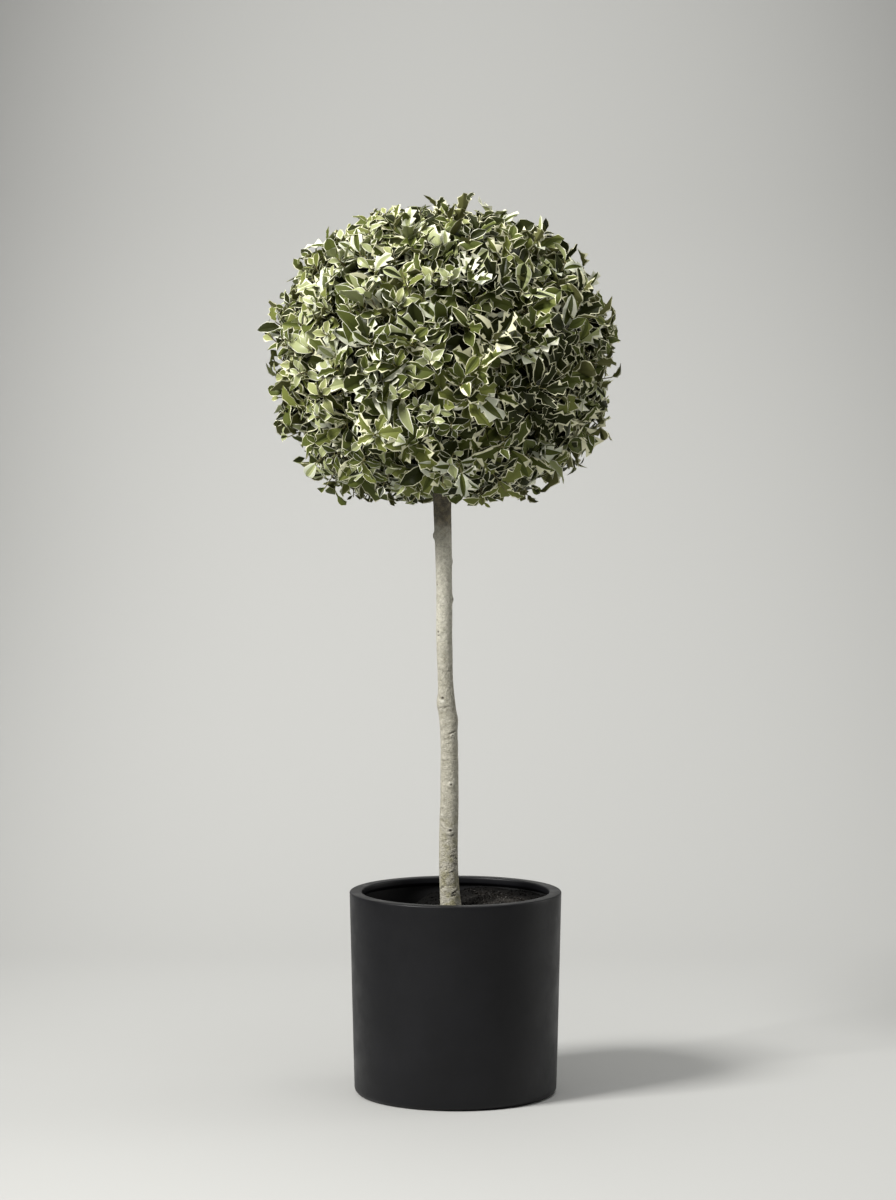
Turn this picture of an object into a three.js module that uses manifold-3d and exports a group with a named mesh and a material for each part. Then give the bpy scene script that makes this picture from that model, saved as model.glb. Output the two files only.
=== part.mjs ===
// A ball-headed standard: a cream-edged holly clipped to a ball on one clear stem, in a plain black planter.
// Millimetres, +Z up, the front towards -Y. The origin is the centre of the planter's flat underside.
import * as THREE from "three";
import { mergeVertices } from "three/addons/utils/BufferGeometryUtils.js";
import Module from "manifold-3d";

const { lerp, clamp, smoothstep, seededRandom, degToRad } = THREE.MathUtils;

// Between solids that rest on, fill or surround each other.
const GAP = 0.3;

// Planter: a slightly tapered drum with a lip turned inwards at its top.
const POT_HEIGHT = 335;
const POT_TOP_RADIUS = 175;
const POT_FOOT_RADIUS = 167.5;
const POT_FOOT_ROUND = 10;
const POT_WALL = 14;
const POT_FLOOR = 18;
const LIP_WIDTH = 20;
const LIP_DEPTH = 10;
const LIP_ROUND = 2.5;
const LIP_UNDERCUT = 5;
const POT_SIDES = 60;

// Soil: level round the stem, sunk towards the left side of the planter.
const SOIL_BELOW_RIM = 26;
const SOIL_SUNK = 22;
const SOIL_SUNK_FROM = 35;
const SOIL_SUNK_TO = 115;
const SOIL_LUMP = 2.2;
const SOIL_LUMP_LENGTH = 34;
const SOIL_SEAT_RADIUS = 34;
const SOIL_RINGS = 7;

// Stem: from its flat cut on the soil to the fork hidden in the crown.
const SOIL_LEVEL = POT_HEIGHT - SOIL_BELOW_RIM;
const STEM_FOOT = SOIL_LEVEL + GAP;
const STEM_FORK = 1052;
const STEM_FLARE = 3;
const STEM_FLARE_HEIGHT = 14;
const STEM_FLARE_LOBES = 5;
const STEM_HEAD_ROUND = 26;
const STEM_SIDES = 20;
const STEM_RINGS = 54;
// Height, sideways and fore-and-aft place of the stem's centre, and its diameter.
const STEM_STATIONS = [
  { height: 305, x: -8, y: 0, diameter: 32 },
  { height: 364, x: -11, y: 0, diameter: 31.5 },
  { height: 512, x: -10, y: 2, diameter: 30 },
  { height: 585, x: -10.5, y: 2, diameter: 28.5 },
  { height: 643, x: -14, y: 1, diameter: 28 },
  { height: 668, x: -15.7, y: 0, diameter: 26 },
  { height: 760, x: -18.4, y: -2, diameter: 26.3 },
  { height: 830, x: -18.5, y: -3, diameter: 26 },
  { height: 882, x: -19.5, y: -2, diameter: 27.5 },
  { height: 979, x: -21.8, y: 0, diameter: 30 },
  { height: 1060, x: -21.5, y: 0, diameter: 35 },
];
// Healed cuts and buds that stand out of the stem: height, direction (0 is +X, -90 the front), proud, half length.
const STEM_KNOTS = [
  { height: 437, turn: -70, proud: 1.6, reach: 9 },
  { height: 513, turn: -35, proud: 1.2, reach: 9 },
  { height: 618, turn: -8, proud: 2.4, reach: 16 },
  { height: 655, turn: -150, proud: 2.8, reach: 11 },
  { height: 765, turn: 178, proud: 1.2, reach: 9 },
  { height: 822, turn: 5, proud: 1.2, reach: 9 },
  { height: 922, turn: 175, proud: 2.6, reach: 13 },
];

// Crown: one clipped ball, a half ellipsoid above and a fuller half below, covered in uneven sprays of leaves.
const CROWN_X = -21.5;
const CROWN_HEIGHT = 1226;
const CROWN_RADIUS = 284;
const CROWN_RISE = 238;
const CROWN_DROP = 236;
const CROWN_FULLNESS_ABOVE = 2;
const CROWN_FULLNESS_BELOW = 2.95;
const CROWN_DETAIL = 13;
const SPRAYS = 270;
const SPRAY_SEED = 5;
const SPRAY_SPREAD = 0.16;
const SPRAY_SCATTER = 0.07;
const SPRAY_SHORT = 0.045;
const SPRAY_LONG = 0.135;
const BETWEEN_SPRAYS = 0.94;

const wasm = await Module();
wasm.setup();

const potMaterial = new THREE.MeshStandardMaterial({ color: 0x2b2b2d, roughness: 0.62, metalness: 0 });
const soilMaterial = new THREE.MeshStandardMaterial({ color: 0x231e1a, roughness: 0.95, metalness: 0 });
const barkMaterial = new THREE.MeshStandardMaterial({ color: 0xb3ad98, roughness: 0.85, metalness: 0 });
const leafMaterial = new THREE.MeshStandardMaterial({ color: 0x7c8258, roughness: 0.45, metalness: 0 });

// Points of a quarter or other arc in a profile's plane, angles in degrees from the outward direction.
function arc(centreRadius, centreHeight, radius, from, to, steps) {
  return Array.from({ length: steps + 1 }, (_, i) => {
    const angle = degToRad(lerp(from, to, i / steps));
    return new THREE.Vector2(
      centreRadius + radius * Math.cos(angle),
      centreHeight + radius * Math.sin(angle),
    );
  });
}

// A profile of (radius, height) points turned round the Z axis.
function turned(profile) {
  return new THREE.LatheGeometry(profile, POT_SIDES).rotateX(Math.PI / 2);
}

// Moves every vertex of a geometry to where place(vertex) puts it.
function shaped(geometry, place) {
  const positions = geometry.getAttribute("position");
  const vertex = new THREE.Vector3();
  for (let i = 0; i < positions.count; i++) {
    vertex.fromBufferAttribute(positions, i);
    place(vertex);
    positions.setXYZ(i, vertex.x, vertex.y, vertex.z);
  }
  geometry.computeVertexNormals();
  return geometry;
}

function namedMesh(name, geometry, material) {
  const mesh = new THREE.Mesh(geometry, material);
  mesh.name = name;
  return mesh;
}

// ---- Planter ----

const potRadiusAt = (height) => lerp(POT_FOOT_RADIUS, POT_TOP_RADIUS, height / POT_HEIGHT);
const potInsideAt = (height) => potRadiusAt(height) - POT_WALL;

function buildPot() {
  const lipInside = POT_TOP_RADIUS - LIP_WIDTH;
  const undercutHeight = POT_HEIGHT - LIP_DEPTH - LIP_UNDERCUT;
  const profile = [
    new THREE.Vector2(0, 0),
    ...arc(POT_FOOT_RADIUS - POT_FOOT_ROUND, POT_FOOT_ROUND, POT_FOOT_ROUND, -90, 0, 4),
    ...arc(POT_TOP_RADIUS - LIP_ROUND, POT_HEIGHT - LIP_ROUND, LIP_ROUND, 0, 90, 3),
    ...arc(lipInside + LIP_ROUND, POT_HEIGHT - LIP_ROUND, LIP_ROUND, 90, 180, 3),
    new THREE.Vector2(lipInside, POT_HEIGHT - LIP_DEPTH),
    new THREE.Vector2(potInsideAt(undercutHeight), undercutHeight),
    new THREE.Vector2(potInsideAt(POT_FLOOR), POT_FLOOR),
    new THREE.Vector2(0, POT_FLOOR),
  ];
  return namedMesh("pot", turned(profile), potMaterial);
}

// ---- Soil ----

// How far the soil's top lies above (or below) its level at the stem.
function soilRelief(x, y) {
  const fromStem = smoothstep(Math.hypot(x, y), SOIL_SEAT_RADIUS, 2 * SOIL_SEAT_RADIUS);
  const lump = Math.sin(x / SOIL_LUMP_LENGTH * 2 + 1) * Math.sin(y / SOIL_LUMP_LENGTH * 2 + 2);
  const sunk = smoothstep(-x, SOIL_SUNK_FROM, SOIL_SUNK_TO);
  return fromStem * SOIL_LUMP * lump - SOIL_SUNK * sunk;
}

function buildSoil() {
  const bottom = POT_FLOOR + GAP;
  const edge = potInsideAt(SOIL_LEVEL) - GAP;
  const profile = [
    new THREE.Vector2(0, bottom),
    new THREE.Vector2(potInsideAt(POT_FLOOR) - GAP, bottom),
  ];
  for (let ring = 0; ring <= SOIL_RINGS; ring++) {
    profile.push(new THREE.Vector2(lerp(edge, SOIL_SEAT_RADIUS, ring / SOIL_RINGS), SOIL_LEVEL));
  }
  profile.push(new THREE.Vector2(0, SOIL_LEVEL));
  const geometry = shaped(turned(profile), (v) => {
    if (v.z < SOIL_LEVEL - GAP) return;
    v.z += soilRelief(v.x, v.y);
    // The edge follows the planter's taper down where the soil has sunk.
    const inside = potInsideAt(v.z) - GAP;
    const out = Math.hypot(v.x, v.y);
    const pull = Math.min(1, inside / Math.max(out, 1));
    v.x *= pull;
    v.y *= pull;
  });
  return namedMesh("soil", geometry, soilMaterial);
}

// ---- Stem ----

const stemCurve = new THREE.CubicInterpolant(
  STEM_STATIONS.map((s) => s.height),
  STEM_STATIONS.flatMap((s) => [s.x, s.y, s.diameter]),
  3,
);

// How far the healed cuts push the stem's side out at a height and direction.
function knotRelief(height, turn) {
  return STEM_KNOTS.reduce((total, knot) => {
    const along = (height - knot.height) / knot.reach;
    const round = Math.sin((turn - degToRad(knot.turn)) / 2) * 2.5;
    return total + knot.proud * Math.exp(-(along * along + round * round) * 1.5);
  }, 0);
}

// The lobed swelling where the stem meets the soil.
function flareRelief(height, turn) {
  const fade = Math.exp(-(height - STEM_FOOT) / STEM_FLARE_HEIGHT);
  return STEM_FLARE * fade * (0.75 + 0.25 * Math.cos(STEM_FLARE_LOBES * turn));
}

// The stem as a closed solid, grown by a clearance on every side.
function stemGeometry(clearance) {
  const rod = new THREE.CylinderGeometry(1, 1, 1, STEM_SIDES, STEM_RINGS).rotateX(Math.PI / 2);
  return shaped(rod, (v) => {
    const share = v.z + 0.5;
    const height = lerp(STEM_FOOT, STEM_FORK, share);
    const [x, y, diameter] = stemCurve.evaluate(height);
    const turn = Math.atan2(v.y, v.x);
    const head = clamp((height - STEM_FORK) / STEM_HEAD_ROUND + 1, 0, 1);
    const relief = knotRelief(height, turn) + flareRelief(height, turn);
    const radius = (diameter / 2 + relief) * Math.sqrt(1 - 0.7 * head * head) + clearance;
    v.set(x + radius * v.x, y + radius * v.y, height + clearance * (2 * share - 1));
  });
}

function buildStem() {
  return namedMesh("trunk", stemGeometry(0), barkMaterial);
}

// ---- Crown ----

// Each spray of leaves: its direction from the crown's centre, and how far it stands out.
function crownSprays() {
  seededRandom(SPRAY_SEED);
  const scatter = () => lerp(-SPRAY_SCATTER, SPRAY_SCATTER, seededRandom());
  const goldenAngle = Math.PI * (3 - Math.sqrt(5));
  return Array.from({ length: SPRAYS }, (_, i) => {
    const rise = 1 - (2 * i + 1) / SPRAYS;
    const ring = Math.sqrt(1 - rise * rise);
    const direction = new THREE.Vector3(
      ring * Math.cos(i * goldenAngle) + scatter(),
      ring * Math.sin(i * goldenAngle) + scatter(),
      rise + scatter(),
    ).normalize();
    return { direction, proud: lerp(SPRAY_SHORT, SPRAY_LONG, seededRandom()) };
  });
}

// Distance from the crown's centre to its clipped outline in a direction.
function clippedRadius(direction) {
  const semiHeight = direction.z > 0 ? CROWN_RISE : CROWN_DROP;
  const below = smoothstep(-direction.z, 0, 0.4);
  const fullness = lerp(CROWN_FULLNESS_ABOVE, CROWN_FULLNESS_BELOW, below);
  const across = Math.hypot(direction.x, direction.y) / CROWN_RADIUS;
  const along = Math.abs(direction.z) / semiHeight;
  return (across ** fullness + along ** fullness) ** (-1 / fullness);
}

// A three.js geometry as a manifold solid.
function solidOf(geometry) {
  geometry.deleteAttribute("normal");
  geometry.deleteAttribute("uv");
  const merged = mergeVertices(geometry, 1e-3);
  return new wasm.Manifold(
    new wasm.Mesh({
      numProp: 3,
      vertProperties: merged.getAttribute("position").array,
      triVerts: new Uint32Array(merged.index.array),
    }),
  );
}

// A manifold solid as a three.js geometry.
function geometryOf(solid) {
  const { vertProperties, triVerts } = solid.getMesh();
  const geometry = new THREE.BufferGeometry();
  geometry.setAttribute("position", new THREE.BufferAttribute(vertProperties, 3));
  geometry.setIndex(new THREE.BufferAttribute(triVerts, 1));
  geometry.computeVertexNormals();
  return geometry;
}

function buildCrown() {
  const sprays = crownSprays();
  const direction = new THREE.Vector3();
  const ball = shaped(new THREE.IcosahedronGeometry(1, CROWN_DETAIL), (v) => {
    direction.copy(v).normalize();
    const proud = sprays.reduce((most, spray) => {
      const off = direction.distanceTo(spray.direction) / SPRAY_SPREAD;
      return Math.max(most, spray.proud * (1 - off * off));
    }, 0);
    v.copy(direction).multiplyScalar(clippedRadius(direction) * (BETWEEN_SPRAYS + proud));
    v.x += CROWN_X;
    v.z += CROWN_HEIGHT;
  });
  const crown = solidOf(ball).subtract(solidOf(stemGeometry(GAP)));
  return namedMesh("crown", geometryOf(crown), leafMaterial);
}

const topiary = new THREE.Group();
topiary.name = "ball_topiary";
topiary.add(buildPot(), buildSoil(), buildStem(), buildCrown());

export default topiary;
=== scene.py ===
"""A ball-headed standard: a cream-edged holly on one bare stem, in a black planter.

Metres, +Z up, the front towards -Y. The origin is the centre of the planter's flat underside.
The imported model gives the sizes. Here the planter gets its finish and its soft edges, the soil its
grain and crumbs, the stem its bark and healed cuts, and the clipped mass becomes boughs, twigs and
sprays of leaves that a seeded rule grows from the fork of the stem.
"""

import logging
import math
from dataclasses import dataclass, field
from enum import Enum, IntEnum
from functools import cached_property
from typing import Callable, Optional, Sequence

import bmesh
import bpy
import numpy as np
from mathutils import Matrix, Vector


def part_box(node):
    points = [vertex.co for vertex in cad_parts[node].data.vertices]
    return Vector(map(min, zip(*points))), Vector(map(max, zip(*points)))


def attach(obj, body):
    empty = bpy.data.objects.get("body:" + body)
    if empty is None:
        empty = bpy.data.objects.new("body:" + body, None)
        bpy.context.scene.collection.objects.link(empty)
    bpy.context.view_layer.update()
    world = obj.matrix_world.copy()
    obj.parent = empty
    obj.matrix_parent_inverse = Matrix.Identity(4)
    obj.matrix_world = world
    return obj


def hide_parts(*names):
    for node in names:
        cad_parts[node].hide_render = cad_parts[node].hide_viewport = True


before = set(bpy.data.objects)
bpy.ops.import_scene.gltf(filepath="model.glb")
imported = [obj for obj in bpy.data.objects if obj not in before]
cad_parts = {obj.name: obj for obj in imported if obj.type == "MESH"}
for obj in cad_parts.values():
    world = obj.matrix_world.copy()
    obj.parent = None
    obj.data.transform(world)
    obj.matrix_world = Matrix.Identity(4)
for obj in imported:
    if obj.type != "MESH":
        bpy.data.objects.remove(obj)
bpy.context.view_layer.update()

LOG = logging.getLogger("topiary")
MM = 0.001
GOLDEN_ANGLE = math.pi * (3.0 - math.sqrt(5.0))
UP = np.array([0.0, 0.0, 1.0])
BODY = "root"

SOIL_GAP = 0.3 * MM
STEM_SUNK = 2.0 * MM
CROWN_MIDDLE = 0.498

# A Ring is its centre's x, y and z and its radius. A Span is two levels and two values there.
Colour = tuple[float, float, float]
Ring = tuple[float, float, float, float]
Span = tuple[float, float, float, float]
Test = Callable[[Vector], bool]
Array = np.ndarray
Object = bpy.types.Object
Mesh = bpy.types.Mesh
Material = bpy.types.Material
Socket = bpy.types.NodeSocket


# ---------------------------------------------------------------- modelling bench


class Pick(Enum):
    """What a selection is made of."""

    VERTICES = "VERT"
    EDGES = "EDGE"
    FACES = "FACE"


def everywhere(_: Vector) -> bool:
    """The test that every place passes."""
    return True


def deselect_all() -> None:
    """Leaves nothing selected in object mode."""
    if bpy.context.mode != "OBJECT":
        bpy.ops.object.mode_set(mode="OBJECT")
    bpy.ops.object.select_all(action="DESELECT")


def make_active(obj: Object, *others: Object) -> None:
    """Selects obj and any others, nothing else, and makes obj the active object."""
    deselect_all()
    for one in (*others, obj):
        one.select_set(True)
    bpy.context.view_layer.objects.active = obj


def smoothstep(x: Array | float, low: float, high: float) -> Array | float:
    """0 below low, 1 above high, and a smooth rise between them."""
    t = np.clip((np.asarray(x, float) - low) / (high - low), 0.0, 1.0)
    return t * t * (3.0 - 2.0 * t)


class Bench:
    """One mesh object on the bench, shaped in edit mode with the modelling operators."""

    def __init__(self, name: str, primitive: Callable[..., object], **settings: object) -> None:
        """Adds the primitive that the piece starts from, and opens it in edit mode.

        Args:
            name: the piece's name.
            primitive: the operator that adds it.
            settings: its size and place.
        """
        deselect_all()
        primitive(**settings)
        self.obj = bpy.context.active_object
        self.obj.name = name
        self.obj.data.name = name
        bpy.ops.object.transform_apply(location=True, rotation=True, scale=True)
        bpy.ops.object.mode_set(mode="EDIT")

    @classmethod
    def drawn_up(cls, name: str, sides: int, rings: Sequence[Ring]) -> "Bench":
        """Draws a round solid up from a disc, ring by ring.

        Args:
            name: the piece's name.
            sides: how many sides it has.
            rings: the centre's x, y and z and the radius of each ring. The first is the disc.

        Returns:
            The bench, with the last ring's face selected.
        """
        x, y, z, radius = rings[0]
        bench = cls(
            name,
            bpy.ops.mesh.primitive_circle_add,
            vertices=sides,
            radius=radius,
            fill_type="NGON",
            location=(x, y, z),
        )
        bench.pick(Pick.FACES, everywhere)
        for new_x, new_y, new_z, new_radius in rings[1:]:
            bench.extrude(new_x - x, new_y - y, new_z - z)
            factor = new_radius / radius
            if abs(factor - 1.0) > 1e-6:
                bench.scale(factor, factor, 1.0, (new_x, new_y, new_z))
            x, y, z, radius = new_x, new_y, new_z, new_radius
        return bench

    def pick(self, kind: Pick, test: Test) -> None:
        """Selects what passes a test of its place, and nothing else.

        Args:
            kind: vertices, edges or faces.
            test: takes a vertex's place, or the middle of an edge or face.
        """
        bpy.ops.mesh.select_mode(type=kind.value)
        bpy.ops.mesh.select_all(action="DESELECT")
        mesh = bmesh.from_edit_mesh(self.obj.data)
        if kind is Pick.VERTICES:
            parts = [(vertex, vertex.co) for vertex in mesh.verts]
        elif kind is Pick.EDGES:
            parts = [(edge, (edge.verts[0].co + edge.verts[1].co) / 2) for edge in mesh.edges]
        else:
            parts = [(face, face.calc_center_median()) for face in mesh.faces]
        for part, middle in parts:
            part.select_set(test(middle))
        mesh.select_flush_mode()
        bmesh.update_edit_mesh(self.obj.data)

    def move(self, x: float, y: float, z: float) -> None:
        """Moves the selection."""
        bpy.ops.transform.translate(value=(x, y, z))

    def scale(self, x: float, y: float, z: float, about: Sequence[float] = (0, 0, 0)) -> None:
        """Scales the selection about a point."""
        bpy.ops.transform.resize(value=(x, y, z), center_override=tuple(about))

    def extrude(self, x: float, y: float, z: float) -> None:
        """Draws the selection out by a step."""
        bpy.ops.mesh.extrude_region_move(TRANSFORM_OT_translate={"value": (x, y, z)})

    def bevel(self, test: Test, width: float, segments: int) -> None:
        """Rounds the edges that pass a test of their middle."""
        self.pick(Pick.EDGES, test)
        bpy.ops.mesh.bevel(offset=width, segments=segments, affect="EDGES")

    def finish(self, smooth_angle: Optional[float] = None) -> Object:
        """Turns the faces outwards, leaves edit mode and shades the piece.

        Args:
            smooth_angle: edges blunter than this, in degrees, are smooth. None makes all smooth.

        Returns:
            The finished object.
        """
        bpy.ops.mesh.select_mode(type="VERT")
        bpy.ops.mesh.select_all(action="SELECT")
        bpy.ops.mesh.remove_doubles(threshold=1e-6)
        bpy.ops.mesh.normals_make_consistent(inside=False)
        bpy.ops.mesh.select_all(action="DESELECT")
        make_active(self.obj)
        bpy.ops.object.shade_smooth()
        if smooth_angle is not None:
            bpy.ops.object.shade_smooth_by_angle(angle=math.radians(smooth_angle))
        return self.obj


def apply_modifier(obj: Object, kind: str, **settings: object) -> None:
    """Adds a modifier with its settings and applies it.

    Args:
        obj: the object that it shapes.
        kind: the modifier's type.
        settings: its properties by name.
    """
    make_active(obj)
    modifier = obj.modifiers.new(kind.lower(), kind)
    for name, value in settings.items():
        setattr(modifier, name, value)
    bpy.ops.object.modifier_apply(modifier=modifier.name)


def roughen(obj: Object, name: str, size: float, depth: float, **settings: object) -> None:
    """Displaces a surface by clouds of one size and depth, in metres."""
    texture = bpy.data.textures.new(name, "CLOUDS")
    texture.noise_scale = size
    apply_modifier(obj, "DISPLACE", texture=texture, strength=depth, mid_level=0.5, **settings)


def read(rows: bpy.types.bpy_prop_collection, name: str, kind: type, width: int = 1) -> Array:
    """One property of every row of a mesh's collection, as an array."""
    flat = np.empty(len(rows) * width, kind)
    rows.foreach_get(name, flat)
    return flat if width == 1 else flat.reshape(-1, width)


def places(mesh: Mesh) -> Array:
    """The places of a mesh's vertices as rows of x, y, z."""
    return read(mesh.vertices, "co", np.float32, 3).astype(float)


def set_places(mesh: Mesh, rows: Array) -> None:
    """Moves a mesh's vertices to new places."""
    mesh.vertices.foreach_set("co", rows.astype(np.float32).ravel())
    mesh.update()


def set_mask(mesh: Mesh, name: str, values: Array) -> None:
    """Stores one number for each vertex as a named attribute."""
    layer = mesh.attributes.new(name, "FLOAT", "POINT")
    layer.data.foreach_set("value", values.astype(np.float32))


def linked(name: str, data: bpy.types.ID, *materials: Material) -> Object:
    """A new object in the scene, from its data and its materials."""
    for material in materials:
        data.materials.append(material)
    obj = bpy.data.objects.new(name, data)
    bpy.context.scene.collection.objects.link(obj)
    return obj


def seat(obj: Object, slot: str, node: str, *materials: Material) -> None:
    """Gives a piece its materials and hands it to the frame.

    Args:
        obj: the finished piece.
        slot: not used.
        node: the solid that it stands for.
        materials: its materials, if it has none yet.
    """
    for material in materials:
        obj.data.materials.append(material)
    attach(obj, BODY)
    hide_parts(node)
    obj.data.calc_loop_triangles()
    LOG.info("%s: %d triangles", obj.name, len(obj.data.loop_triangles))


# ---------------------------------------------------------------- joined meshes from arrays


@dataclass
class Template:
    """One small closed shape as arrays, ready to be copied many times into one mesh."""

    vertices: Array
    edges: Array
    sharp: Array
    corners: Array
    corner_edges: Array
    sizes: Array
    zones: Array

    @classmethod
    def taken_from(cls, obj: Object) -> "Template":
        """Reads a modelled object into arrays and removes the object."""
        mesh = obj.data
        zones = np.zeros(len(mesh.polygons), np.int32)
        if "zone" in mesh.attributes:
            zones = read(mesh.attributes["zone"].data, "value", np.int32)
        made = cls(
            places(mesh),
            read(mesh.edges, "vertices", np.int32, 2),
            read(mesh.edges, "use_edge_sharp", bool),
            read(mesh.loops, "vertex_index", np.int32),
            read(mesh.loops, "edge_index", np.int32),
            read(mesh.polygons, "loop_total", np.int32),
            zones,
        )
        bpy.data.objects.remove(obj)
        bpy.data.meshes.remove(mesh)
        return made


@dataclass
class JoinedMesh:
    """Many copies of templates, gathered as arrays and made into one mesh object."""

    name: str
    copied: list[tuple[Array, ...]] = field(default_factory=list)
    vertex_count: int = 0
    edge_count: int = 0

    def add(self, shape: Template, copies: Array, slots: Array) -> None:
        """Adds copies of one template.

        Args:
            shape: the template that was copied.
            copies: the copies' vertices, an array of copies by vertices by 3.
            slots: the copies' material slots, an array of copies by faces.
        """
        count, per_copy = copies.shape[:2]
        vertex_start = self.vertex_count + per_copy * np.arange(count)[:, None]
        edge_start = self.edge_count + len(shape.edges) * np.arange(count)[:, None]
        rows = (
            copies.astype(np.float32),
            shape.edges[None] + vertex_start[..., None],
            np.tile(shape.sharp, count),
            shape.corners[None] + vertex_start,
            shape.corner_edges[None] + edge_start,
            np.tile(shape.sizes, count),
            slots,
        )
        self.copied.append(tuple(part.ravel() for part in rows))
        self.vertex_count += per_copy * count
        self.edge_count += len(shape.edges) * count

    def make(self, materials: Sequence[Material]) -> Object:
        """Makes the mesh object.

        Args:
            materials: the materials of its slots, in order.

        Returns:
            The object, at the origin, in the scene.
        """
        rows = [np.concatenate(parts) for parts in zip(*self.copied)]
        vertices, edges, sharp, corners, corner_edges, sizes, slots = rows
        mesh = bpy.data.meshes.new(self.name)
        mesh.vertices.add(self.vertex_count)
        mesh.edges.add(self.edge_count)
        mesh.loops.add(len(corners))
        mesh.polygons.add(len(sizes))
        mesh.vertices.foreach_set("co", vertices)
        for target, name, values in (
            (mesh.edges, "vertices", edges),
            (mesh.loops, "vertex_index", corners),
            (mesh.loops, "edge_index", corner_edges),
            (mesh.polygons, "loop_start", np.concatenate(([0], np.cumsum(sizes)[:-1]))),
            (mesh.polygons, "material_index", slots),
        ):
            target.foreach_set(name, values.astype(np.int32))
        mesh.update(calc_edges=False)
        mesh.edges.foreach_set("use_edge_sharp", sharp)
        return linked(self.name, mesh, *materials)


# ---------------------------------------------------------------- shader helpers and shared effects


@dataclass(frozen=True)
class Patches:
    """A noise by its scale and detail, cut smoothly between two levels."""

    scale: float
    detail: float
    low: float
    high: float
    least: float = 0.0
    most: float = 1.0
    grain: float = 0.55


@dataclass(frozen=True)
class Flecks:
    """Small flecks: their scale, the two levels that cut them off and how much of them shows."""

    scale: float
    low: float
    high: float
    share: float


@dataclass(frozen=True)
class Relief:
    """An uneven surface: its two scales, the fine one's share, its strength and its depth."""

    coarse: float
    fine: float
    share: float
    strength: float
    depth: float


class NodeTree:
    """A node tree with short ways to add and join nodes."""

    def __init__(self, tree: bpy.types.NodeTree) -> None:
        """Wraps a material's or a group's tree."""
        self.tree = tree

    def add(
        self, kind: str, inputs: Optional[dict[str | int, object]] = None, **settings: object
    ) -> bpy.types.Node:
        """Adds a node.

        Args:
            kind: its type.
            inputs: what goes into its inputs, by name or number.
            settings: its properties by name.

        Returns:
            The node.
        """
        node = self.tree.nodes.new(kind)
        for name, value in settings.items():
            setattr(node, name, value)
        for key, value in (inputs or {}).items():
            self.feed(node.inputs[key], value)
        return node

    def feed(self, socket: Socket, value: object) -> None:
        """Links an output to an input, or sets the input to a number, a place or a colour."""
        if isinstance(value, bpy.types.NodeSocket):
            self.tree.links.new(value, socket)
        else:
            socket.default_value = (*value, 1.0) if socket.type == "RGBA" else value

    def noise(
        self, place: Socket, scale: Socket | float, detail: float, grain: float = 0.55
    ) -> Socket:
        """A noise pattern's value."""
        inputs = {"Vector": place, "Scale": scale, "Detail": detail, "Roughness": grain}
        return self.add("ShaderNodeTexNoise", inputs).outputs["Fac"]

    def ramp(
        self,
        value: Socket,
        low: Socket | float,
        high: Socket | float,
        least: float = 0.0,
        most: float = 1.0,
    ) -> Socket:
        """A value mapped smoothly from between low and high to between least and most."""
        names = ("Value", "From Min", "From Max", "To Min", "To Max")
        inputs = dict(zip(names, (value, low, high, least, most)))
        node = self.add("ShaderNodeMapRange", inputs, interpolation_type="SMOOTHSTEP")
        return node.outputs["Result"]

    def blend(self, factor: Socket, a: Socket | Colour, b: Socket | Colour) -> Socket:
        """Two colours mixed by a factor."""
        return self.add("ShaderNodeMix", {0: factor, 6: a, 7: b}, data_type="RGBA").outputs[2]

    def math(self, operation: str, a: Socket | float, b: Socket | float = 0.0) -> Socket:
        """The result of a math node on two values."""
        return self.add("ShaderNodeMath", {0: a, 1: b}, operation=operation).outputs[0]

    def times(self, a: Socket, b: Socket | float) -> Socket:
        """One value times another."""
        return self.math("MULTIPLY", a, b)


class Effects:
    """Effects that several finishes share, each a node group built once."""

    def __init__(self) -> None:
        """Builds the groups."""
        self.flecks = self._flecks()
        self.relief = self._relief()

    @staticmethod
    def _new(
        name: str, output: str, **inputs: float
    ) -> tuple[NodeTree, bpy.types.NodeOutputs, Socket]:
        """Starts a group with a Place input, further inputs with their defaults, and one output.

        Args:
            name: the group's name.
            output: its output's name.
            inputs: its further inputs' defaults, by their names.

        Returns:
            The tree, its inputs and its output.
        """
        tree = bpy.data.node_groups.new(name, "ShaderNodeTree")
        tree.interface.new_socket(name="Place", in_out="INPUT", socket_type="NodeSocketVector")
        kind = "NodeSocketFloat"
        for label, value in inputs.items():
            socket = tree.interface.new_socket(name=label, in_out="INPUT", socket_type=kind)
            socket.default_value = value
        tree.interface.new_socket(name=output, in_out="OUTPUT", socket_type=kind)
        group = NodeTree(tree)
        entry, end = group.add("NodeGroupInput"), group.add("NodeGroupOutput")
        return group, entry.outputs, end.inputs[output]

    def _flecks(self) -> bpy.types.NodeTree:
        """Small flecks: a fine noise cut off between two levels, thinned out by a broad one."""
        group, given, mask = self._new("flecks", "Mask", Scale=800.0, Low=0.55, High=0.7)
        fine = group.noise(given["Place"], given["Scale"], 2.0, 0.5)
        cut = group.ramp(fine, given["Low"], given["High"])
        broad = group.noise(given["Place"], 22.0, 2.0)
        thin = group.ramp(broad, 0.3, 0.65, 0.35, 1.0)
        group.feed(mask, group.times(cut, thin))
        return group.tree

    def _relief(self) -> bpy.types.NodeTree:
        """Unevenness at two sizes: a coarse noise and a share of a fine one."""
        group, given, height = self._new(
            "uneven_surface", "Height", Coarse=40.0, Fine=400.0, Share=0.4
        )
        coarse, fine = (
            group.noise(given["Place"], given[label], 3.0, 0.5) for label in ("Coarse", "Fine")
        )
        group.feed(height, group.math("ADD", coarse, group.times(fine, given["Share"])))
        return group.tree


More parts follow.
